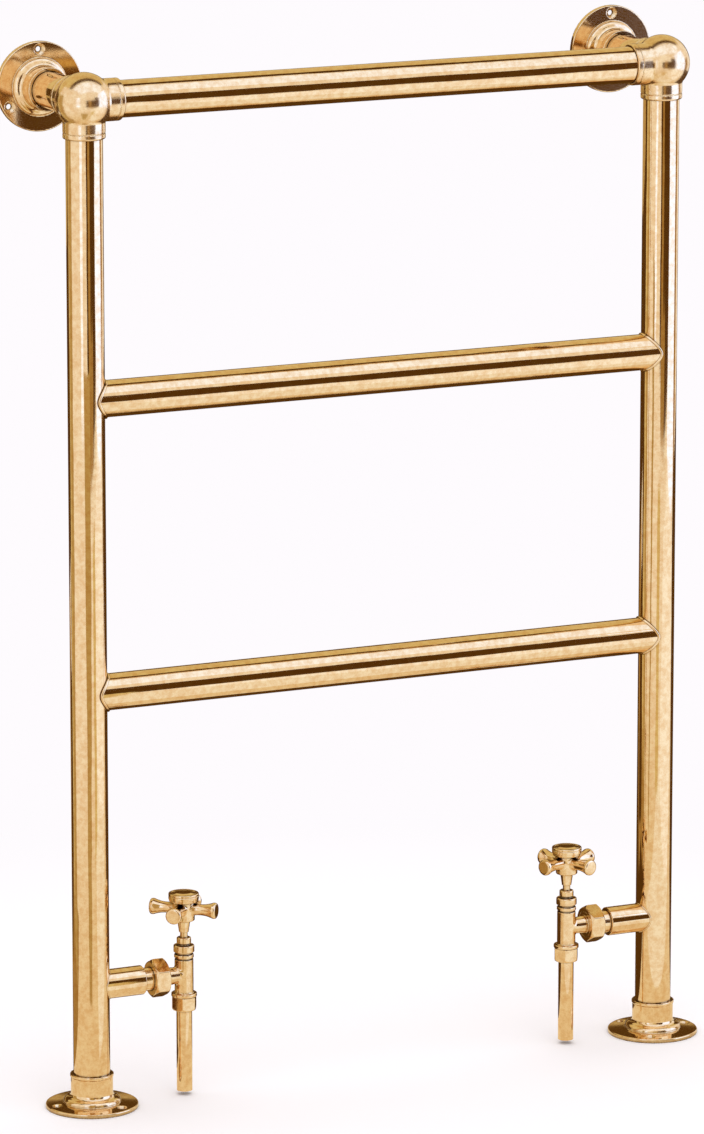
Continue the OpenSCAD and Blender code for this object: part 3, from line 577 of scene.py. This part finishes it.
def eased(corners):
    """Outline through (radius, height, rounding) corners, with each rounding drawn as an arc."""
    count = len(corners)
    points = []
    for i, (r, h, rounding) in enumerate(corners):
        here = np.array([r, h])
        if rounding == 0:
            points.append(here)
            continue
        to_last = np.array(corners[i - 1][:2]) - here
        to_next = np.array(corners[(i + 1) % count][:2]) - here
        to_last /= np.linalg.norm(to_last)
        to_next /= np.linalg.norm(to_next)
        half = math.acos(np.clip(to_last @ to_next, -1, 1)) / 2
        centre = here + (to_last + to_next) / np.linalg.norm(to_last + to_next) * rounding / math.sin(half)
        first = here + to_last * rounding / math.tan(half) - centre
        last = here + to_next * rounding / math.tan(half) - centre
        sweep = math.atan2(first[0] * last[1] - first[1] * last[0], first @ last)
        for step in range(ARC_STEPS + 1):
            turn = sweep * step / ARC_STEPS
            points.append(centre + np.array([
                first[0] * math.cos(turn) - first[1] * math.sin(turn),
                first[0] * math.sin(turn) + first[1] * math.cos(turn),
            ]))
    return np.array(points)


def turned(outline, origin, axis, side):
    """A piece turned about an axis from a half outline of (radius, height) points that runs anticlockwise.
    An outline that starts and ends on the axis is closed by it."""
    solid = outline[0][0] == 0
    steps = np.diff(outline, axis=0, append=outline[:1])
    across = np.stack([steps[:, 1], -steps[:, 0]], axis=1)
    if solid:
        across[-1] = 0
    facing = across + np.roll(across, 1, axis=0)
    facing /= np.linalg.norm(facing, axis=1)[:, None]
    angles = np.arange(LATHE_SIDES) * 2 * math.pi / LATHE_SIDES
    around = np.outer(np.cos(angles), side) + np.outer(np.sin(angles), np.cross(axis, side))
    points, normals, rows = [], [], []
    for (r, h), (out, up) in zip(outline, facing):
        copies = 1 if r == 0 else LATHE_SIDES
        rows.append([len(points) + (j % copies) for j in range(LATHE_SIDES + 1)])
        for j in range(copies):
            points.append(origin + axis * h + around[j] * r)
            normals.append(axis * (1 if up > 0 else -1) if r == 0 else axis * up + around[j] * out)
    faces = []
    last = len(rows) - 1 if solid else len(rows)
    for i in range(last):
        lower, upper = rows[i], rows[(i + 1) % len(rows)]
        for j in range(LATHE_SIDES):
            ring = [lower[j], lower[j + 1], upper[j + 1], upper[j]]
            faces.append(list(dict.fromkeys(ring)))
    return np.array(points), faces, np.array(normals)


# Tubes, made by a tree of geometry nodes

RAIL_TUBE = millimetres(wall=1.5, edge_round=0.3, bead=1.4, cope_nose=6)
STUB_TUBE = millimetres(wall=2.95, edge_round=0.8, bead=0.8)
TUBE_SIDES = 144
BEAD_SIDES = 12
EDGE_STEPS = 3


def tube_tree():
    """Tube along Z about the origin. Each end can be coped to fit round a tube that lies along Y at that end,
    with a brazed bead along the joint."""
    tree = bpy.data.node_groups.new("drawn tube", "GeometryNodeTree")
    for name, kind, value in (
        ("Length", "Float", SPACING), ("Outer Radius", "Float", TUBE_R), ("Wall", "Float", RAIL_TUBE.wall),
        ("Edge Round", "Float", RAIL_TUBE.edge_round), ("Lower Cope Radius", "Float", 0.0),
        ("Upper Cope Radius", "Float", 0.0), ("Cope Nose", "Float", 0.0), ("Bead Radius", "Float", 0.0),
        ("Sides", "Int", TUBE_SIDES), ("Tube Finish", "Material", None), ("Bead Finish", "Material", None),
    ):
        socket = tree.interface.new_socket(name=name, in_out="INPUT", socket_type=f"NodeSocket{kind}")
        if value is not None:
            socket.default_value = value
    tree.interface.new_socket(name="Tube", in_out="OUTPUT", socket_type="NodeSocketGeometry")
    given = add(tree, "NodeGroupInput").outputs

    half_wall = add(tree, "ShaderNodeMath", {0: given["Wall"], 1: 0.5}, operation="MULTIPLY")
    middle_r = add(tree, "ShaderNodeMath", {0: given["Outer Radius"], 1: half_wall}, operation="SUBTRACT")
    way = add(tree, "GeometryNodeCurvePrimitiveCircle", {"Resolution": given["Sides"], "Radius": middle_r})
    section = add(tree, "GeometryNodeCurvePrimitiveQuadrilateral", {
        "Width": given["Wall"], "Height": given["Length"],
    })
    eased = add(tree, "GeometryNodeFilletCurve", {
        "Curve": section, "Count": EDGE_STEPS, "Radius": given["Edge Round"],
    }, mode="POLY")
    tube = add(tree, "GeometryNodeCurveToMesh", {"Curve": way, "Profile Curve": eased})

    place = add(tree, "GeometryNodeInputPosition")
    parts = add(tree, "ShaderNodeSeparateXYZ", {0: place}).outputs
    below = add(tree, "FunctionNodeCompare", {0: parts["Z"], 1: 0.0}, operation="LESS_THAN")
    cope = add(tree, "GeometryNodeSwitch", {
        "Switch": below, "False": given["Upper Cope Radius"], "True": given["Lower Cope Radius"],
    }, input_type="FLOAT")
    across = add(tree, "ShaderNodeMath", {0: parts["X"], 1: parts["X"]}, operation="MULTIPLY")
    square = add(tree, "ShaderNodeMath", {0: cope, 1: cope}, operation="MULTIPLY")
    room = add(tree, "ShaderNodeMath", {0: square, 1: across}, operation="SUBTRACT")
    some = add(tree, "ShaderNodeMath", {0: room, 1: 0.0}, operation="MAXIMUM")
    blunt = add(tree, "ShaderNodeMath", {0: given["Cope Nose"], 1: given["Cope Nose"], 2: some},
                operation="MULTIPLY_ADD")
    saddle = add(tree, "ShaderNodeMath", {0: blunt}, operation="SQRT")
    end = add(tree, "ShaderNodeMath", {0: parts["Z"]}, operation="SIGN")
    inward = add(tree, "ShaderNodeMath", {0: end, 1: -1.0}, operation="MULTIPLY")
    shift = add(tree, "ShaderNodeMath", {0: saddle, 1: inward}, operation="MULTIPLY")
    offset = add(tree, "ShaderNodeCombineXYZ", {"Z": shift})
    coped = add(tree, "GeometryNodeSetPosition", {"Geometry": tube, "Offset": offset})

    rim = add(tree, "GeometryNodeCurvePrimitiveCircle", {
        "Resolution": given["Sides"], "Radius": given["Outer Radius"],
    })
    half = add(tree, "ShaderNodeMath", {0: given["Length"], 1: 0.5}, operation="MULTIPLY")
    lower = add(tree, "ShaderNodeMath", {0: half, 1: -1.0}, operation="MULTIPLY")
    wire = add(tree, "GeometryNodeCurvePrimitiveCircle", {
        "Resolution": BEAD_SIDES, "Radius": given["Bead Radius"],
    })
    seams = add(tree, "GeometryNodeJoinGeometry")
    for end_z, radius in ((lower, "Lower Cope Radius"), (half, "Upper Cope Radius")):
        lift = add(tree, "ShaderNodeCombineXYZ", {"Z": end_z})
        ring = add(tree, "GeometryNodeSetPosition", {"Geometry": rim, "Offset": lift})
        seam = add(tree, "GeometryNodeSetPosition", {"Geometry": ring, "Offset": offset})
        bead = add(tree, "GeometryNodeCurveToMesh", {"Curve": seam, "Profile Curve": wire})
        has = add(tree, "FunctionNodeCompare", {0: given[radius], 1: 0.0}, operation="GREATER_THAN")
        kept = add(tree, "GeometryNodeSwitch", {"Switch": has, "True": bead}, input_type="GEOMETRY")
        tree.links.new(kept.outputs[0], seams.inputs[0])
    brazed = add(tree, "GeometryNodeStoreNamedAttribute", {
        "Geometry": seams, "Name": "brazed", "Value": True,
    }, data_type="BOOLEAN", domain="FACE")
    whole = add(tree, "GeometryNodeJoinGeometry")
    for part in (coped, brazed):
        tree.links.new(part.outputs[0], whole.inputs[0])
    smooth = add(tree, "GeometryNodeSetShadeSmooth", {"Geometry": whole})
    real = add(tree, "GeometryNodeRealizeInstances", {"Geometry": smooth})
    drawn = add(tree, "GeometryNodeSetMaterial", {"Geometry": real, "Material": given["Tube Finish"]})
    is_brazed = add(tree, "GeometryNodeInputNamedAttribute", {"Name": "brazed"}, data_type="BOOLEAN")
    finished = add(tree, "GeometryNodeSetMaterial", {
        "Geometry": drawn, "Selection": is_brazed, "Material": given["Bead Finish"],
    })
    add(tree, "NodeGroupOutput", {"Tube": finished})
    return tree


def grown_mesh(tree, sizes):
    """Runs a tree of geometry nodes with the given inputs and returns the plain mesh that it makes."""
    seed = bpy.data.objects.new("seed", bpy.data.meshes.new("seed"))
    bpy.context.collection.objects.link(seed)
    modifier = seed.modifiers.new("grow", "NODES")
    modifier.node_group = tree
    sockets = {item.name: item.identifier for item in tree.interface.items_tree if item.in_out == "INPUT"}
    for name, value in sizes.items():
        modifier[sockets[name]] = value
    bpy.context.view_layer.update()
    graph = bpy.context.evaluated_depsgraph_get()
    mesh = bpy.data.meshes.new_from_object(seed.evaluated_get(graph), depsgraph=graph)
    seed.modifiers.remove(modifier)
    bpy.data.objects.remove(seed)
    return mesh


def mesh_from(points, faces, normals):
    """A smooth mesh with exact normals."""
    mesh = bpy.data.meshes.new("shape")
    mesh.from_pydata(points.tolist(), [], faces)
    mesh.shade_smooth()
    mesh.normals_split_custom_set_from_vertices(normals.tolist())
    return mesh


def on_side(side, shape):
    """A shape drawn on the right side, or its mirror image for the left."""
    points, faces, normals = shape
    if side == "right":
        return mesh_from(points, faces, normals)
    flip = np.array([-1, 1, 1])
    return mesh_from(points * flip, [face[::-1] for face in faces], normals * flip)


BODY_OF = {node: body for body, nodes in frame["record"]["behaviour"]["bodies"].items() for node in nodes}


def stand_for(node, mesh, finishes):
    """Makes the finished piece that stands for a CAD node and moves with its body."""
    mesh.name = node + "_piece"
    mesh.materials.clear()
    for finish in finishes:
        mesh.materials.append(finish)
    piece = bpy.data.objects.new(mesh.name, mesh)
    bpy.context.collection.objects.link(piece)
    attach(piece, BODY_OF[node])
    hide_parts(node)


def stand_on_both_sides(part, shape, finish):
    """Makes a piece for the right side and its mirror image for the left."""
    for side in SIDES:
        stand_for(f"{side}_{part}", on_side(side, shape), [finish])


# Directions in which a tube can lie: where its own X, Y and Z go
UP = ((1, 0, 0), (0, 1, 0), (0, 0, 1))
LEVEL = ((0, 1, 0), (0, 0, 1), (1, 0, 0))
BACKWARD = ((0, 0, 1), (1, 0, 0), (0, 1, 0))
TO_MIDDLE = {"right": ((0, 1, 0), (0, 0, -1), (-1, 0, 0)), "left": LEVEL}


def weigh_normals(mesh):
    """Gives each point the mean of its faces' normals by area, so that long faces shade straight."""
    total = np.zeros((len(mesh.vertices), 3))
    for face in mesh.polygons:
        total[list(face.vertices)] += np.array(face.normal) * face.area
    total /= np.linalg.norm(total, axis=1)[:, None]
    mesh.normals_split_custom_set_from_vertices(total.tolist())


def laid(mesh, directions, place):
    """Turns a tube's mesh from along Z to another direction and moves its middle to its place."""
    turn = Matrix(directions).transposed().to_4x4()
    mesh.transform(Matrix.Translation(Vector(place)) @ turn)
    weigh_normals(mesh)
    return mesh


def make_tubes(finish):
    """Uprights, bars, wall stems and valve stubs, all cut from drawn tube."""
    tree = tube_tree()
    for node, directions, look in (
        ("left_upright", UP, "upright tube"), ("right_upright", UP, "upright tube"),
        ("left_wall_stem", BACKWARD, "depth tube"), ("right_wall_stem", BACKWARD, "depth tube"),
        ("top_bar", LEVEL, "level tube"),
    ):
        low, high, middle = box_of(node)
        mesh = grown_mesh(tree, {"Length": float(max(high - low)), "Tube Finish": finish[look]})
        stand_for(node, laid(mesh, directions, middle), [finish[look]])

    brazed = [finish["level tube"], finish["braze"]]
    for side in SIDES:
        low, high, middle = box_of(f"{side}_valve_stub")
        reach = float(UPRIGHT[0] - min(abs(low[0]), abs(high[0])))
        mesh = grown_mesh(tree, {
            "Length": reach, "Outer Radius": float(high[1] - low[1]) / 2, "Wall": STUB_TUBE.wall,
            "Edge Round": STUB_TUBE.edge_round, "Lower Cope Radius": TUBE_R, "Bead Radius": STUB_TUBE.bead,
            "Tube Finish": brazed[0], "Bead Finish": brazed[1],
        })
        place = (math.copysign(UPRIGHT[0] - reach / 2, middle[0]), UPRIGHT[1], middle[2])
        stand_for(f"{side}_valve_stub", laid(mesh, TO_MIDDLE[side], place), brazed)

    for bar in ("middle_bar", "lower_bar"):
        mesh = grown_mesh(tree, {
            "Length": SPACING, "Lower Cope Radius": TUBE_R, "Upper Cope Radius": TUBE_R,
            "Cope Nose": RAIL_TUBE.cope_nose, "Bead Radius": RAIL_TUBE.bead,
            "Tube Finish": brazed[0], "Bead Finish": brazed[1],
        })
        stand_for(bar, laid(mesh, LEVEL, box_of(bar)[2]), brazed)


JOINT = millimetres(
    ball_r=27, neck_wall=2.45, neck_reach=34.5, neck_round=1.6, neck_fillet=1.2,
    groove_at=5.5, groove_r=0.55, groove_edge=0.2, socket_floor=19, waterway_r=14, hollow_r=15, edge=0.3,
)


def ball_joint(points):
    """Ball with three turned necks, a groove near each mouth, and a socket for each tube."""
    neck_r = SOCKET_R + JOINT.neck_wall
    solid = np.linalg.norm(points - BALL, axis=1) - JOINT.ball_r
    for way in (-Z, -X, Y):
        neck = rod(points, BALL, way, 0, JOINT.neck_reach, neck_r, JOINT.neck_round)
        solid = join(solid, neck, JOINT.neck_fillet)
    for way in (-Z, -X, Y):
        along, off = along_and_off(points, BALL, way)
        groove = np.hypot(along - JOINT.neck_reach + JOINT.groove_at, off - neck_r) - JOINT.groove_r
        solid = cut(solid, groove, JOINT.groove_edge)
        socket = rod(points, BALL, way, JOINT.socket_floor, 2 * JOINT.neck_reach, SOCKET_R)
        solid = cut(solid, socket, JOINT.edge)
    solid = cut(solid, np.linalg.norm(points - BALL, axis=1) - JOINT.hollow_r, JOINT.edge)
    for way in (-Z, -X):
        solid = cut(solid, rod(points, BALL, way, 0, JOINT.neck_reach, JOINT.waterway_r), JOINT.edge)
    return solid


def make_ball_joints(finish):
    """The two ball joints."""
    low, high, _ = box_of("right_ball_joint")
    shape = skin(ball_joint, low, high, cell_mm=0.75)
    stand_on_both_sides("ball_joint", shape, finish["ball"])


FLANGE = millimetres(
    under=10, plate_h=6, plate_rim=0.5, plate_top=5.3, plate_edge=1.2, fall_from=27,
    step_r=27.5, step_h=10, step_round=4.2, step_fillet=0.6, collar_wall=2.5, collar_inset=1, cove=5,
    bead_h=3, bead_out=0.7, bead_fillet=0.3, hole_r=2.5, sink_from=2.25, sink_depth=2.6, edge=0.3,
    grub_at=20, grub_r=2.05, grub_reach=40, bore_r=16, bore_under=20, socket_from=2, past=60, bore_edge=0.2,
)
SCREW_HOLES = 3
WALL_HOLE_RING_R = 35 * MM
FLOOR_HOLE_RING_R = 36 * MM
# The floor flange's plate falls a little towards its rim, which draws the light along its front
FLOOR_PLATE_FALL = 0.08
# A countersink's side leans by 45 degrees, so a straight sideways distance is too long
SINK_LEAN = math.sqrt(0.5)


def flange(points, base, axis, first_hole, grub_way, outer_r, collar_h, hole_ring_r, fall):
    """Turned flange: plate with countersunk holes, a rounded step, a cove, and a collar with a beaded mouth.
    The fall is how much lower the plate gets for each unit towards its rim."""
    s = FLANGE
    along, off = along_and_off(points, base, axis)
    collar_r = SOCKET_R + s.collar_wall
    plate = rod(points, base, axis, -s.under, s.plate_h, outer_r, s.plate_rim)
    plate = common(plate, along - s.plate_top + fall * (off - s.fall_from), s.plate_edge)
    step = rod(points, base, axis, -s.under, s.step_h, s.step_r, s.step_round)
    collar = rod(points, base, axis, -s.under, collar_h - s.collar_inset, collar_r)
    bead = rod(points, base, axis, collar_h - s.bead_h, collar_h, collar_r + s.bead_out, s.bead_out)
    solid = join(join(join(plate, step, s.step_fillet), collar, s.cove), bead, s.bead_fillet)
    side = np.cross(axis, first_hole)
    for turn in np.arange(SCREW_HOLES) * 2 * math.pi / SCREW_HOLES:
        hole = base + (first_hole * math.cos(turn) + side * math.sin(turn)) * hole_ring_r
        _, off = along_and_off(points, hole, axis)
        sink_r = s.hole_r + np.clip(along - s.sink_from, 0, s.sink_depth)
        solid = cut(solid, SINK_LEAN * (off - sink_r), s.edge)
    solid = cut(solid, rod(points, base + axis * s.grub_at, grub_way, 0, s.grub_reach, s.grub_r), s.bore_edge)
    solid = cut(solid, rod(points, base, axis, -s.bore_under, s.past, s.bore_r), s.bore_edge)
    solid = cut(solid, rod(points, base, axis, s.socket_from, s.past, SOCKET_R), s.bore_edge)
    return common(solid, -along, s.edge)


def make_flanges(finish):
    """Flanges on the wall and on the floor."""
    for part, axis, first_hole, grub_way, ring_r, fall, look in (
        ("wall_flange", -Y, Z, -Z, WALL_HOLE_RING_R, 0, "wall flange"),
        ("floor_flange", Z, X, Y, FLOOR_HOLE_RING_R, FLOOR_PLATE_FALL, "floor flange"),
    ):
        low, high, _ = box_of(f"right_{part}")
        base = end_of(low, high, axis)
        radius, height = (high[0] - low[0]) / 2, abs((high - low) @ axis)
        shape = skin(lambda points: flange(
            points, base, axis, first_hole, grub_way, radius, height, ring_r, fall,
        ), low, high, cell_mm=0.8)
        stand_on_both_sides(part, shape, finish[look])


# Heights are measured from the middle of the union
BODY = millimetres(
    barrel_low=-20, barrel_high=15.5, barrel_r=9, foot_low=-21, foot_high=-17.5, foot_r=12.25, foot_round=0.8,
    spigot_low=-30, spigot_r=9.5, branch_root_r=7.25, branch_end_r=8.75, overlap=1,
    thread_r=12.5, thread_round=0.4, branch_fillet=2.2, foot_fillet=1.2, spigot_fillet=0.4, thread_fillet=0.6,
    bore_r=5, pipe_low=-40, pipe_high=-13, pipe_r=7.3, seat_low=-20, chamber_low=-9, chamber_high=20,
    chamber_r=7, edge=0.3,
)


def valve_body(points):
    """Cast angle valve: barrel with a foot collar and a spigot, and a tapered branch to the union."""
    s = BODY
    thread_end = box_of("right_union_nut")[0][0] - VALVE[0] + JOINT_GAP
    branch_end = box_of("right_valve_body")[1][0] - VALVE[0]
    barrel = rod(points, VALVE, Z, s.barrel_low, s.barrel_high, s.barrel_r, s.edge)
    foot = rod(points, VALVE, Z, s.foot_low, s.foot_high, s.foot_r, s.foot_round)
    spigot = rod(points, VALVE, Z, s.spigot_low, s.barrel_low, s.spigot_r, s.edge)
    along, off = along_and_off(points, VALVE, X)
    taper = s.branch_root_r + (s.branch_end_r - s.branch_root_r) * np.clip(along / thread_end, 0, 1)
    cone = np.maximum(np.maximum(off - taper, along - thread_end - s.overlap), -along)
    thread = rod(points, VALVE, X, thread_end, branch_end, s.thread_r, s.thread_round)
    solid = join(join(barrel, cone, s.branch_fillet), foot, s.foot_fillet)
    solid = join(join(solid, spigot, s.spigot_fillet), thread, s.thread_fillet)
    for axis, start, end, radius in (
        (X, 0, 2 * branch_end, s.bore_r),
        (Z, s.pipe_low, s.pipe_high, s.pipe_r),
        (Z, s.seat_low, 0, s.bore_r),
        (Z, s.chamber_low, s.chamber_high, s.chamber_r),
    ):
        solid = cut(solid, rod(points, VALVE, axis, start, end, radius), s.edge)
    return solid


def make_valve_bodies(finish):
    """The two valve bodies."""
    low, high, _ = box_of("right_valve_body")
    shape = skin(valve_body, low, high, cell_mm=0.55)
    stand_on_both_sides("valve_body", shape, finish["cast"])


# A bore starts before its nut or ends past it, so that it opens
NUT = millimetres(flat_edge=0.5, end_edge=0.4, bore_edge=0.3, face_inset=0.3, chamfer=2.4, before=1, past=30)
UNION = millimetres(tail_r=11.05, lip=4, thread_from=3, thread_r=12.55)
PIPE = millimetres(pipe_r=7.7, thread_from=4.3, thread_r=9.55)


def hexagon_nut(points, origin, axis, first_flat, length, flats, chamfers, bores):
    """Hexagon nut from 0 to length along an axis, with turned chamfers at its ends and stepped bores."""
    side = np.cross(axis, first_flat)
    beside = points - origin
    solid = np.full(len(points), -1.0)
    for turn in np.radians([0, 60, 120]):
        facing = first_flat * math.cos(turn) + side * math.sin(turn)
        solid = common(solid, np.abs(beside @ facing) - flats / 2, NUT.flat_edge)
    along, off = along_and_off(points, origin, axis)
    corner_r = flats / 2 / math.cos(math.radians(30))
    face_r = flats / 2 - NUT.face_inset
    for reach, chamfer in zip((along, length - along), chamfers):
        solid = common(solid, -reach, NUT.end_edge)
        if chamfer:
            steep = (corner_r - face_r) / chamfer
            solid = common(solid, (off - face_r - reach * steep) / math.hypot(1, steep), NUT.end_edge)
    for start, end, radius in bores:
        solid = cut(solid, rod(points, origin, axis, start, end, radius), NUT.bore_edge)
    return solid


def make_nuts(finish):
    """Union nuts and compression nuts."""
    union_bores = ((-NUT.before, UNION.lip, UNION.tail_r), (UNION.thread_from, NUT.past, UNION.thread_r))
    pipe_bores = ((-NUT.before, NUT.past, PIPE.pipe_r), (PIPE.thread_from, NUT.past, PIPE.thread_r))
    for part, axis, chamfers, bores, cell_mm in (
        ("union_nut", -X, (NUT.chamfer, NUT.chamfer), union_bores, 0.5),
        ("compression_nut", Z, (NUT.chamfer, 0), pipe_bores, 0.45),
    ):
        low, high, _ = box_of(f"right_{part}")
        start = end_of(low, high, axis)
        length, flats = abs((high - low) @ axis), high[1] - low[1]
        shape = skin(lambda points: hexagon_nut(
            points, start, axis, Y, length, flats, chamfers, bores,
        ), low, high, cell_mm)
        stand_on_both_sides(part, shape, finish["turned"])


# Heights are measured from the floor, and places along an arm from the spindle's axis
HANDLE = millimetres(
    reach=34, hub_low=171.5, hub_high=190.5, hub_r=10.5, hub_round=1.2, hub_fillet=1.5,
    neck_low=160, neck_high=174, neck_taper=11.5, neck_low_r=4.6, neck_high_r=6.25, neck_edge=0.4,
    arm_z=183, arm_root=7, arm_waist=17, arm_flare=12.5, arm_tip=33, arm_waist_r=5.3, arm_curve_r=33.1,
    arm_tip_edge=2.2, arm_fillet=1.4, spindle_low=150, spindle_high=184.5, spindle_r=3.65,
    screw_low=180, screw_r=2.05, screw_edge=0.2, cap_low=186.5, cap_r=6.55, past=200, edge=0.3,
)
ARMS = 4
# The flare's side leans, so a straight sideways distance is a little too long
FLARE_LEAN = 0.95
# How far the first arm stands round from the bars, as each handle was left
ARM_ANGLE = {"left": -48, "right": 20}


def handle(points, angle):
    """Cross handle: turned hub and neck with four arms that flare to flat tips."""
    s = HANDLE
    hub = rod(points, AXLE, Z, s.hub_low, s.hub_high, s.hub_r, s.hub_round)
    along, off = along_and_off(points, AXLE, Z)
    up_neck = np.clip((along - s.neck_low) / s.neck_taper, 0, 1)
    neck_r = s.neck_low_r + (s.neck_high_r - s.neck_low_r) * up_neck
    neck = common(off - neck_r, np.maximum(s.neck_low - along, along - s.neck_high), s.neck_edge)
    solid = join(hub, neck, s.hub_fillet)
    for turn in range(ARMS):
        way = math.radians(angle + 360 / ARMS * turn)
        arm = np.array([math.cos(way), math.sin(way), 0])
        along, off = along_and_off(points, AXLE + Z * s.arm_z, arm)
        past_waist = np.clip(along - s.arm_waist, -s.arm_flare, s.arm_flare)
        reach_r = s.arm_waist_r + s.arm_curve_r - np.sqrt(s.arm_curve_r ** 2 - past_waist ** 2)
        body = common(FLARE_LEAN * (off - reach_r), along - s.arm_tip, s.arm_tip_edge)
        solid = join(solid, np.maximum(body, s.arm_root - along), s.arm_fillet)
    solid = cut(solid, rod(points, AXLE, Z, s.spindle_low, s.spindle_high, s.spindle_r), s.edge)
    solid = cut(solid, rod(points, AXLE, Z, s.screw_low, s.past, s.screw_r), s.screw_edge)
    return cut(solid, rod(points, AXLE, Z, s.cap_low, s.past, s.cap_r), s.edge)


def make_handles(finish):
    """The two cross handles."""
    low, high, _ = box_of("right_handle")
    reach = (X + Y) * HANDLE.reach
    for side in SIDES:
        shape = skin(lambda points: handle(points, ARM_ANGLE[side]),
                     AXLE - reach + Z * low[2], AXLE + reach + Z * high[2], cell_mm=0.6)
        stand_for(f"{side}_handle", on_side(side, shape), [finish["cast"]])


# Half outlines for the lathe. Each corner is its radius, its height above the floor and its rounding, in
# millimetres. An outline runs up its outer side and comes back down its bore.
LATHE_OUTLINES = {
    # Spread foot, beaded rim, shallow ring round the top and a low dome
    "handle_cap": (
        (0, 190.5, 0), (13.7, 190.5, 0.3), (14.1, 191.6, 0.3), (14.1, 192.4, 0.3), (14.5, 193.0, 0.4),
        (14.5, 195.6, 0.3), (14.0, 196.1, 0.3), (14.5, 196.6, 0.3), (14.5, 198.5, 1.0), (12.4, 198.6, 0.3),
        (12.0, 198.3, 0.2), (11.5, 198.6, 0.3), (8.0, 199.3, 6), (0, 199.7, 0),
    ),
    # Plug in the valve, groove, lower ring, groove, upper ring, and the recess for the packing in the bore
    "bonnet": (
        (4.55, 127.0, 0.2), (6.95, 127.0, 0.3), (6.95, 133.5, 0.2), (7.4, 133.5, 0.2), (7.4, 135.2, 0.2),
        (9.4, 135.2, 0.5), (9.4, 138.5, 0.8), (7.2, 138.6, 0.2), (7.2, 140.6, 0.2), (10.0, 140.6, 0.8),
        (10.0, 147.4, 1.2), (6.0, 147.8, 0.3), (6.0, 148.1, 0.1), (5.0, 148.1, 0.1),
        (5.0, 143.6, 0.2), (3.65, 143.6, 0.2), (3.65, 140.4, 0.2), (4.55, 140.4, 0.2),
    ),
    # Thread in the bonnet and a plain head
    "gland_nut": (
        (3.65, 146.6, 0.2), (4.95, 146.6, 0.3), (4.95, 149.4, 0.2), (6.9, 149.4, 0.4), (6.9, 155.0, 1.2),
        (3.65, 155.0, 0.3),
    ),
}


def make_turned_parts(finish):
    """Handle caps, bonnets and gland nuts, turned about the valve's axis."""
    for node, corners in LATHE_OUTLINES.items():
        outline = eased([(r * MM, h * MM, rounding * MM) for r, h, rounding in corners])
        stand_on_both_sides(node, turned(outline, AXLE, Z, X), finish["turned"])


# Finishes of the CAD nodes that stay, by the end of the node's name
KEPT_LOOKS = {
    "tail_pipe": "upright tube", "union_tail": "level turned", "spindle": "turned", "valve_disc": "turned",
    "foot_plug": "turned", "air_vent_body": "wall flange", "olive": "soft brass", "seat_washer": "rubber",
    "union_washer": "rubber", "gland_packing": "packing", "handle_screw": "steel", "grub_screws": "steel",
    "air_vent_screw": "steel",
}


def dress_kept_nodes(finish):
    """Gives every CAD node that stays its finish."""
    for name, node in frame["nodes"].items():
        for ending, look in KEPT_LOOKS.items():
            if name.endswith(ending):
                for slot in node.material_slots:
                    slot.material = finish[look]


make_camera()
make_studio()
finish = make_materials()
make_tubes(finish)
make_ball_joints(finish)
make_flanges(finish)
make_valve_bodies(finish)
make_nuts(finish)
make_handles(finish)
make_turned_parts(finish)
dress_kept_nodes(finish)

bpy.context.scene.view_settings.view_transform = "Standard"
